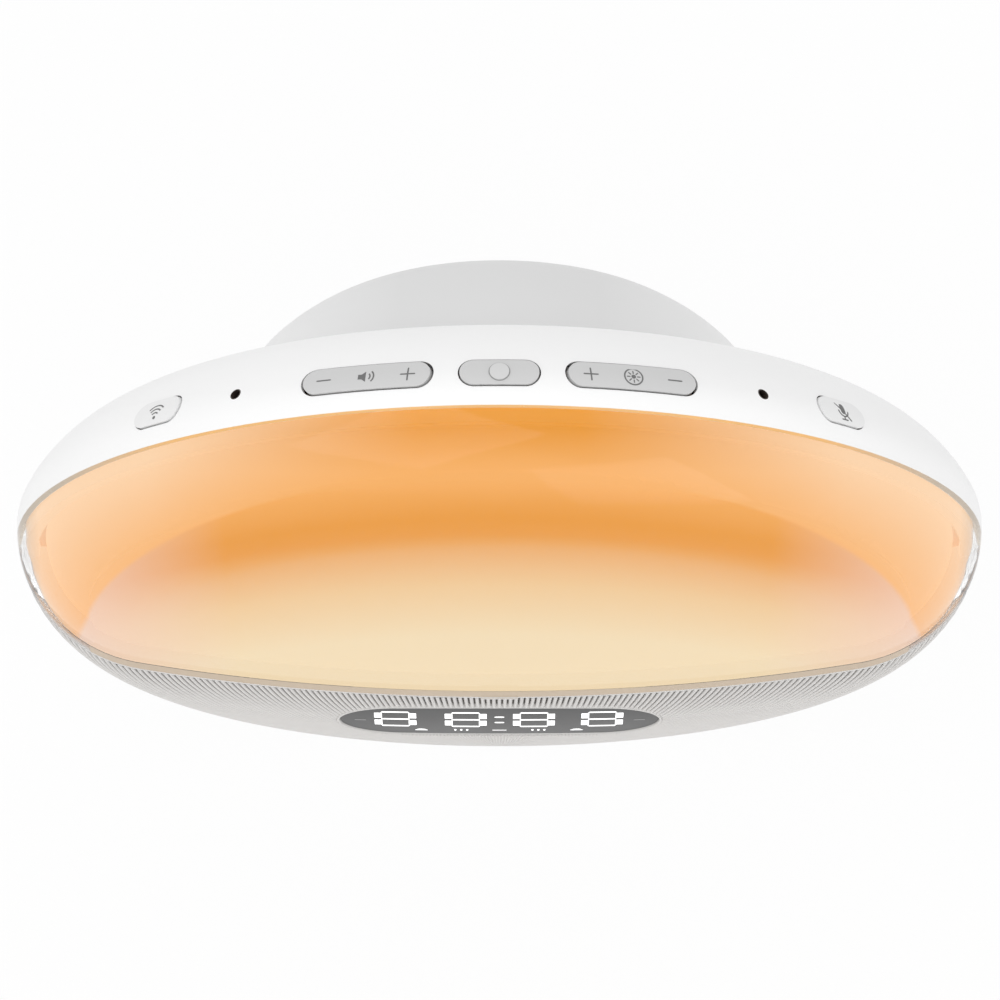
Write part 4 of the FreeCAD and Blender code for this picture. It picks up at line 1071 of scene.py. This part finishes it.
class CLOCK_OT_display(bpy.types.Operator):
    """The dark window with its lit digits and small signs"""
    bl_idname = "clock.display"
    bl_label = "Display"

    def execute(self, context):
        props = context.scene.clock_marks
        window = smooth_copy("display_window", "dark_window")
        finish(window, smoked(), "root", "smoked_window", "display_window")
        marks = [self.place_mark(outline, props) for outline in self.digits() + self.signs()]
        finish(joined("lit_digits", marks), lit("lit_white", (250, 250, 250), 1.0), "root", "light_chip")
        dim = [self.place_mark(outline, props) for outline in self.dim_signs()]
        finish(joined("dim_signs", dim), lit("dim_grey", (150, 150, 150), 0.2), "root", "light_chip")
        return {"FINISHED"}

    def place_mark(self, outline, props):
        """A thin plate on the window's surface for an outline in millimetres."""
        def place(a, b, height):
            return front_point(a * MM, b * MM, MARK_ROOT - height)
        return slab("mark", outline, place, props.proud, DISPLAY_CELL)

    def digits(self):
        """The bars of four eights and the colon."""
        outlines = []
        for x in DIGIT_PLACES:
            for level in (-1, 0, 1):
                z = DIGIT_RISE + level * DIGIT_HALF_HEIGHT
                half = BAR_HALF_LENGTH if level else MIDDLE_BAR_HALF_LENGTH
                low = half - BAR_TAPER * (level < 0)
                high = half - BAR_TAPER * (level > 0)
                outlines.append(block(x, z, low, high, BAR_HALF_HEIGHT))
            for side in (-1, 1):
                for level in (-1, 1):
                    z = DIGIT_RISE + level * DIGIT_HALF_HEIGHT / 2
                    half = UPRIGHT_HALF_WIDTH
                    outlines.append(block(x + side * UPRIGHT_PLACE, z, half, half, UPRIGHT_HALF_HEIGHT))
        for level in (-1, 1):
            outlines.append(level_bar(0.0, DIGIT_RISE + level * COLON_RISE, COLON_HALF_LENGTH, COLON_WIDTH))
        return outlines

    def signs(self):
        """Small plain signs under the digits: two bells, two rows of days and a dash."""
        outlines = []
        for x in BELL_PLACES:
            outlines.append(arc_band((x, SIGN_RISE), BELL_RADIUS, 0, 180, SIGN_LINE))
            outlines.append(level_bar(x, SIGN_FOOT, BELL_BRIM, SIGN_LINE))
        for x in DAY_PLACES:
            for place in (x - DAY_STEP, x, x + DAY_STEP):
                outlines.append(bar((place, SIGN_FOOT), (place, SIGN_FOOT + DAY_HEIGHT), DAY_LINE))
        outlines.append(level_bar(0.0, SIGN_RISE, DASH_HALF_LENGTH, SIGN_LINE))
        return outlines

    def dim_signs(self):
        """Two faint dashes at the window's ends."""
        return [level_bar(x, FAINT_DASH_RISE, FAINT_DASH_HALF_LENGTH, DAY_LINE) for x in FAINT_DASH_PLACES]


class CLOCK_OT_buttons(bpy.types.Operator):
    """The buttons on the rim, with their marks"""
    bl_idname = "clock.buttons"
    bl_label = "Buttons and marks"

    def execute(self, context):
        props = context.scene.clock_marks
        grey = moulded("button_grey_finish", (208, 208, 208), 0.45, change=0.01)
        white = moulded("button_white_finish", (238, 238, 238), 0.45, change=0.01)
        ink = moulded("mark_ink", props.ink, 0.6, change=0.02)
        for node, material, slot in (
            ("volume_rocker", grey, "button_grey"), ("brightness_rocker", grey, "button_grey"),
            ("centre_button", grey, "button_grey"), ("wifi_button", white, "button_white"),
            ("mute_button", white, "button_white"),
        ):
            if node == "centre_button":
                material = self.dotted(material)
            finish(smooth_copy(node, node + "_cap"), material, node, slot, node)
        for body, angle, outlines in (
            ("volume_rocker", -ROCKER_ANGLE, self.volume_marks(props.line)),
            ("brightness_rocker", ROCKER_ANGLE, self.brightness_marks(props.line)),
            ("wifi_button", -SIDE_ANGLE, self.wireless_marks(props.line)),
            ("mute_button", SIDE_ANGLE, self.microphone_marks(props.line)),
        ):
            marks = [self.place_mark(outline, angle, props.proud) for outline in outlines]
            finish(joined(body + "_marks", marks), ink, body, "black_plastic")
        return {"FINISHED"}

    def dotted(self, plain):
        """The plain button finish with its round bump paler and painted shade in a ring round it."""
        material = plain.copy()
        material.name = "centre_button_finish"
        shader = Shader.of(material)
        x, y, _ = shader.parts()
        along = y - CENTRE_Y - BUTTON_Y
        reach = (x * x + along * along) ** 0.5
        dot = reach.maths("LESS_THAN", DOT_RADIUS)
        ring = reach.maths("LESS_THAN", DOT_RING_RADIUS) - dot
        shader.tint(dot, (214, 214, 214))
        # Painted shade: a darker ring round the edge of the bump
        shader.tint(ring, (158, 158, 158))
        return material

    def place_mark(self, outline, angle, proud):
        """A thin plate on a button for an outline in metres, its second axis towards the back."""
        def place(a, b, height):
            return rim_point(angle, a, BUTTON_Y + b, -BUTTON_PROUD - height)
        return slab("mark", outline, place, proud, BUTTON_CELL)

    def minus(self, x, line):
        """A level bar."""
        return [level_bar(x, 0, SIGN_HALF, line)]

    def plus(self, x, line):
        """Two crossed bars."""
        return [level_bar(x, 0, SIGN_HALF, line), bar((x, -SIGN_HALF), (x, SIGN_HALF), line)]

    def volume_marks(self, line):
        """Minus, a plain loudspeaker sign and plus."""
        horn = [(-1.6, -0.6), (-0.8, -0.6), (0.1, -1.3), (0.1, 1.3), (-0.8, 0.6), (-1.6, 0.6)]
        sign = [[(a * MM, b * MM) for a, b in horn]]
        for radius in (0.9, 1.7):
            sign.append(arc_band((0.2 * MM, 0), radius * MM, -48, 48, line))
        return self.minus(-SIGN_OFFSET, line) + sign + self.plus(SIGN_OFFSET, line)

    def brightness_marks(self, line):
        """Plus, a ringed sun and minus."""
        sign = ring_bands((0, 0), 2.0 * MM, line) + [circle((0, 0), 0.5 * MM)]
        for i in range(8):
            turn = 2 * math.pi * i / 8
            near, far = ((r * MM * math.cos(turn), r * MM * math.sin(turn)) for r in (0.85, 1.4))
            sign.append(bar(near, far, line * 0.8))
        return self.plus(-SIGN_OFFSET, line) + sign + self.minus(SIGN_OFFSET, line)

    def wireless_marks(self, line):
        """A dot under three arcs."""
        foot = (0, -1.5 * MM)
        arcs = [arc_band(foot, r * MM, 45, 135, line) for r in (1.2, 2.1, 3.0)]
        return [circle(foot, 0.4 * MM)] + arcs

    def microphone_marks(self, line):
        """A microphone with a bar across."""
        stand = arc_band((0, 0.2 * MM), 1.4 * MM, 180, 360, line)
        foot = bar((0, -1.3 * MM), (0, -2.0 * MM), line)
        base = level_bar(0, -2.0 * MM, 0.8 * MM, line)
        body = bar((0, 0.0), (0, 1.3 * MM), 1.3 * MM)
        slash = bar((-1.9 * MM, 1.9 * MM), (1.9 * MM, -1.9 * MM), line)
        return [stand, foot, base, body, slash]


INNER_FINISHES = {
    "white_inner": lambda name: moulded(name, (228, 228, 222), 0.6),
    "dark_mesh": lambda name: moulded(name, (60, 58, 56), 0.6),
    "black_plastic": lambda name: moulded(name, (34, 34, 34), 0.55, grain=0.2),
    "grey_rubber": lambda name: moulded(name, (52, 50, 48), 0.85, grain=0.3, change=0.06),
    "white_board": lambda name: board(name, (226, 226, 220)),
    "green_board": lambda name: board(name, (40, 118, 74)),
    "amber_board": lambda name: board(name, (178, 124, 52)),
    "bright_steel": lambda name: metal(name, (205, 205, 208), 0.3),
    "light_chip": lambda name: lit(name, (250, 214, 140), 1.5),
    "speaker_paper": lambda name: moulded(name, (44, 44, 46), 0.9, grain=0.5, change=0.08),
    "magnet_black": lambda name: moulded(name, (40, 40, 42), 0.4, coat=0.3),
    "ribbon_white": lambda name: moulded(name, (226, 226, 218), 0.5),
}


class CLOCK_OT_inner_pieces(bpy.types.Operator):
    """Finishes for the boards, speakers, screws and cables inside"""
    bl_idname = "clock.inner_pieces"
    bl_label = "Inner pieces"

    def execute(self, context):
        made = {}
        for part in frame["record"]["subparts"]:
            obj = frame["nodes"][part["node"]]
            slot = part["material_slot"]
            if obj.hide_render or slot not in INNER_FINISHES:
                continue
            if slot not in made:
                made[slot] = INNER_FINISHES[slot](slot + "_finish")
            dress(obj, made[slot])
        # Painted light: the chassis takes a warm tint for the glow that falls on it
        dress(frame["nodes"]["chassis"], moulded("chassis_finish", CHASSIS_WARM_LIGHT, 0.6))
        return {"FINISHED"}


def lamp(name, place, size, power):
    """A square lamp that looks at the clock's centre."""
    data = bpy.data.lights.new(name, "AREA")
    data.energy = power
    data.size = size
    obj = link(name, data)
    obj.location = place
    obj.rotation_euler = (CENTRE - Vector(place)).to_track_quat("-Z", "Y").to_euler()


class CLOCK_OT_stage(bpy.types.Operator):
    """The floor, the lamps, the even light all round and the camera"""
    bl_idname = "clock.stage"
    bl_label = "Studio"

    def execute(self, context):
        scene = context.scene
        props = scene.clock_stage
        corners = [(x * FLOOR_REACH, y * FLOOR_REACH, 0) for x, y in ((-1, -1), (1, -1), (1, 1), (-1, 1))]
        floor = mesh_object("floor", corners, [[0, 1, 2, 3]], smooth=False)
        dress(floor, self.floor_material())
        lamp("key_lamp", KEY_PLACE, KEY_SIZE, props.key)
        lamp("front_lamp", FRONT_PLACE, FRONT_SIZE, props.front)
        self.world(props.world)
        self.camera()
        scene.view_settings.view_transform = "Standard"
        return {"FINISHED"}

    def floor_material(self):
        """A pale floor that shows white to the camera, with the clock's shadow kept."""
        shader = Shader("pale_floor")
        shader.set(Base_Color=(0.9, 0.9, 0.9), Roughness=0.9)
        rays = shader.tree.nodes.new("ShaderNodeLightPath")
        seen = Value(shader, rays.outputs["Is Camera Ray"])
        glossy = Value(shader, rays.outputs["Is Glossy Ray"])
        through = Value(shader, rays.outputs["Is Transmission Ray"])
        white = shader.tree.nodes.new("ShaderNodeEmission")
        mix = shader.tree.nodes.new("ShaderNodeMixShader")
        factor = (seen + glossy + through).maths("MINIMUM", 1.0) * FLOOR_GLOW
        shader.put(mix.inputs[0], factor)
        shader.tree.links.new(shader.principled.outputs[0], mix.inputs[1])
        shader.tree.links.new(white.outputs[0], mix.inputs[2])
        shader.tree.links.new(mix.outputs[0], shader.output.inputs["Surface"])
        return shader.material

    def world(self, strength):
        """Even light, seen as white by the camera and in reflections."""
        world = bpy.data.worlds.new("studio")
        bpy.context.scene.world = world
        world.use_nodes = True
        tree = world.node_tree
        background = tree.nodes["Background"]
        background.inputs["Color"].default_value = (1, 1, 1, 1)
        rays = tree.nodes.new("ShaderNodeLightPath")
        mix = tree.nodes.new("ShaderNodeMix")
        mix.inputs[2].default_value = strength
        mix.inputs[3].default_value = 1.0
        tree.links.new(rays.outputs["Is Camera Ray"], mix.inputs[0])
        tree.links.new(mix.outputs[0], background.inputs["Strength"])

    def camera(self):
        """The photograph's view: nearly from above, with a long lens."""
        data = bpy.data.cameras.new("camera")
        data.lens = CAMERA_LENS
        data.sensor_width = SENSOR_WIDTH
        data.shift_x, data.shift_y = CAMERA_SHIFT
        data.clip_end = CAMERA_REACH
        obj = link("camera", data)
        turn = math.radians(CAMERA_TILT)
        obj.location = CENTRE + Vector((0, -math.sin(turn), math.cos(turn))) * CAMERA_DISTANCE
        obj.rotation_euler = (turn, 0, 0)
        bpy.context.scene.camera = obj


OPERATORS = (
    CLOCK_OT_shells, CLOCK_OT_lit_face, CLOCK_OT_grille, CLOCK_OT_display,
    CLOCK_OT_buttons, CLOCK_OT_inner_pieces, CLOCK_OT_stage,
)
SETTINGS = {
    "clock_light": ClockLight,
    "clock_grille": ClockGrille,
    "clock_marks": ClockMarks,
    "clock_stage": ClockStage,
}


class CLOCK_PT_panel(bpy.types.Panel):
    """Lists the clock's operators and settings"""
    bl_label = "Sunrise alarm clock"
    bl_idname = "CLOCK_PT_panel"
    bl_space_type = "VIEW_3D"
    bl_region_type = "UI"
    bl_category = "Clock"

    def draw(self, context):
        for operator in OPERATORS:
            self.layout.operator(operator.bl_idname)
        for name, group in SETTINGS.items():
            for key in group.__annotations__:
                self.layout.prop(getattr(context.scene, name), key)


CLASSES = (*SETTINGS.values(), *OPERATORS, CLOCK_PT_panel)


def register():
    for cls in CLASSES:
        bpy.utils.register_class(cls)
    for name, group in SETTINGS.items():
        setattr(bpy.types.Scene, name, bpy.props.PointerProperty(type=group))


def unregister():
    for name in SETTINGS:
        delattr(bpy.types.Scene, name)
    for cls in reversed(CLASSES):
        bpy.utils.unregister_class(cls)


def main():
    register()
    for operator in OPERATORS:
        area, name = operator.bl_idname.split(".")
        getattr(getattr(bpy.ops, area), name)()


if __name__ == "__main__":
    main()
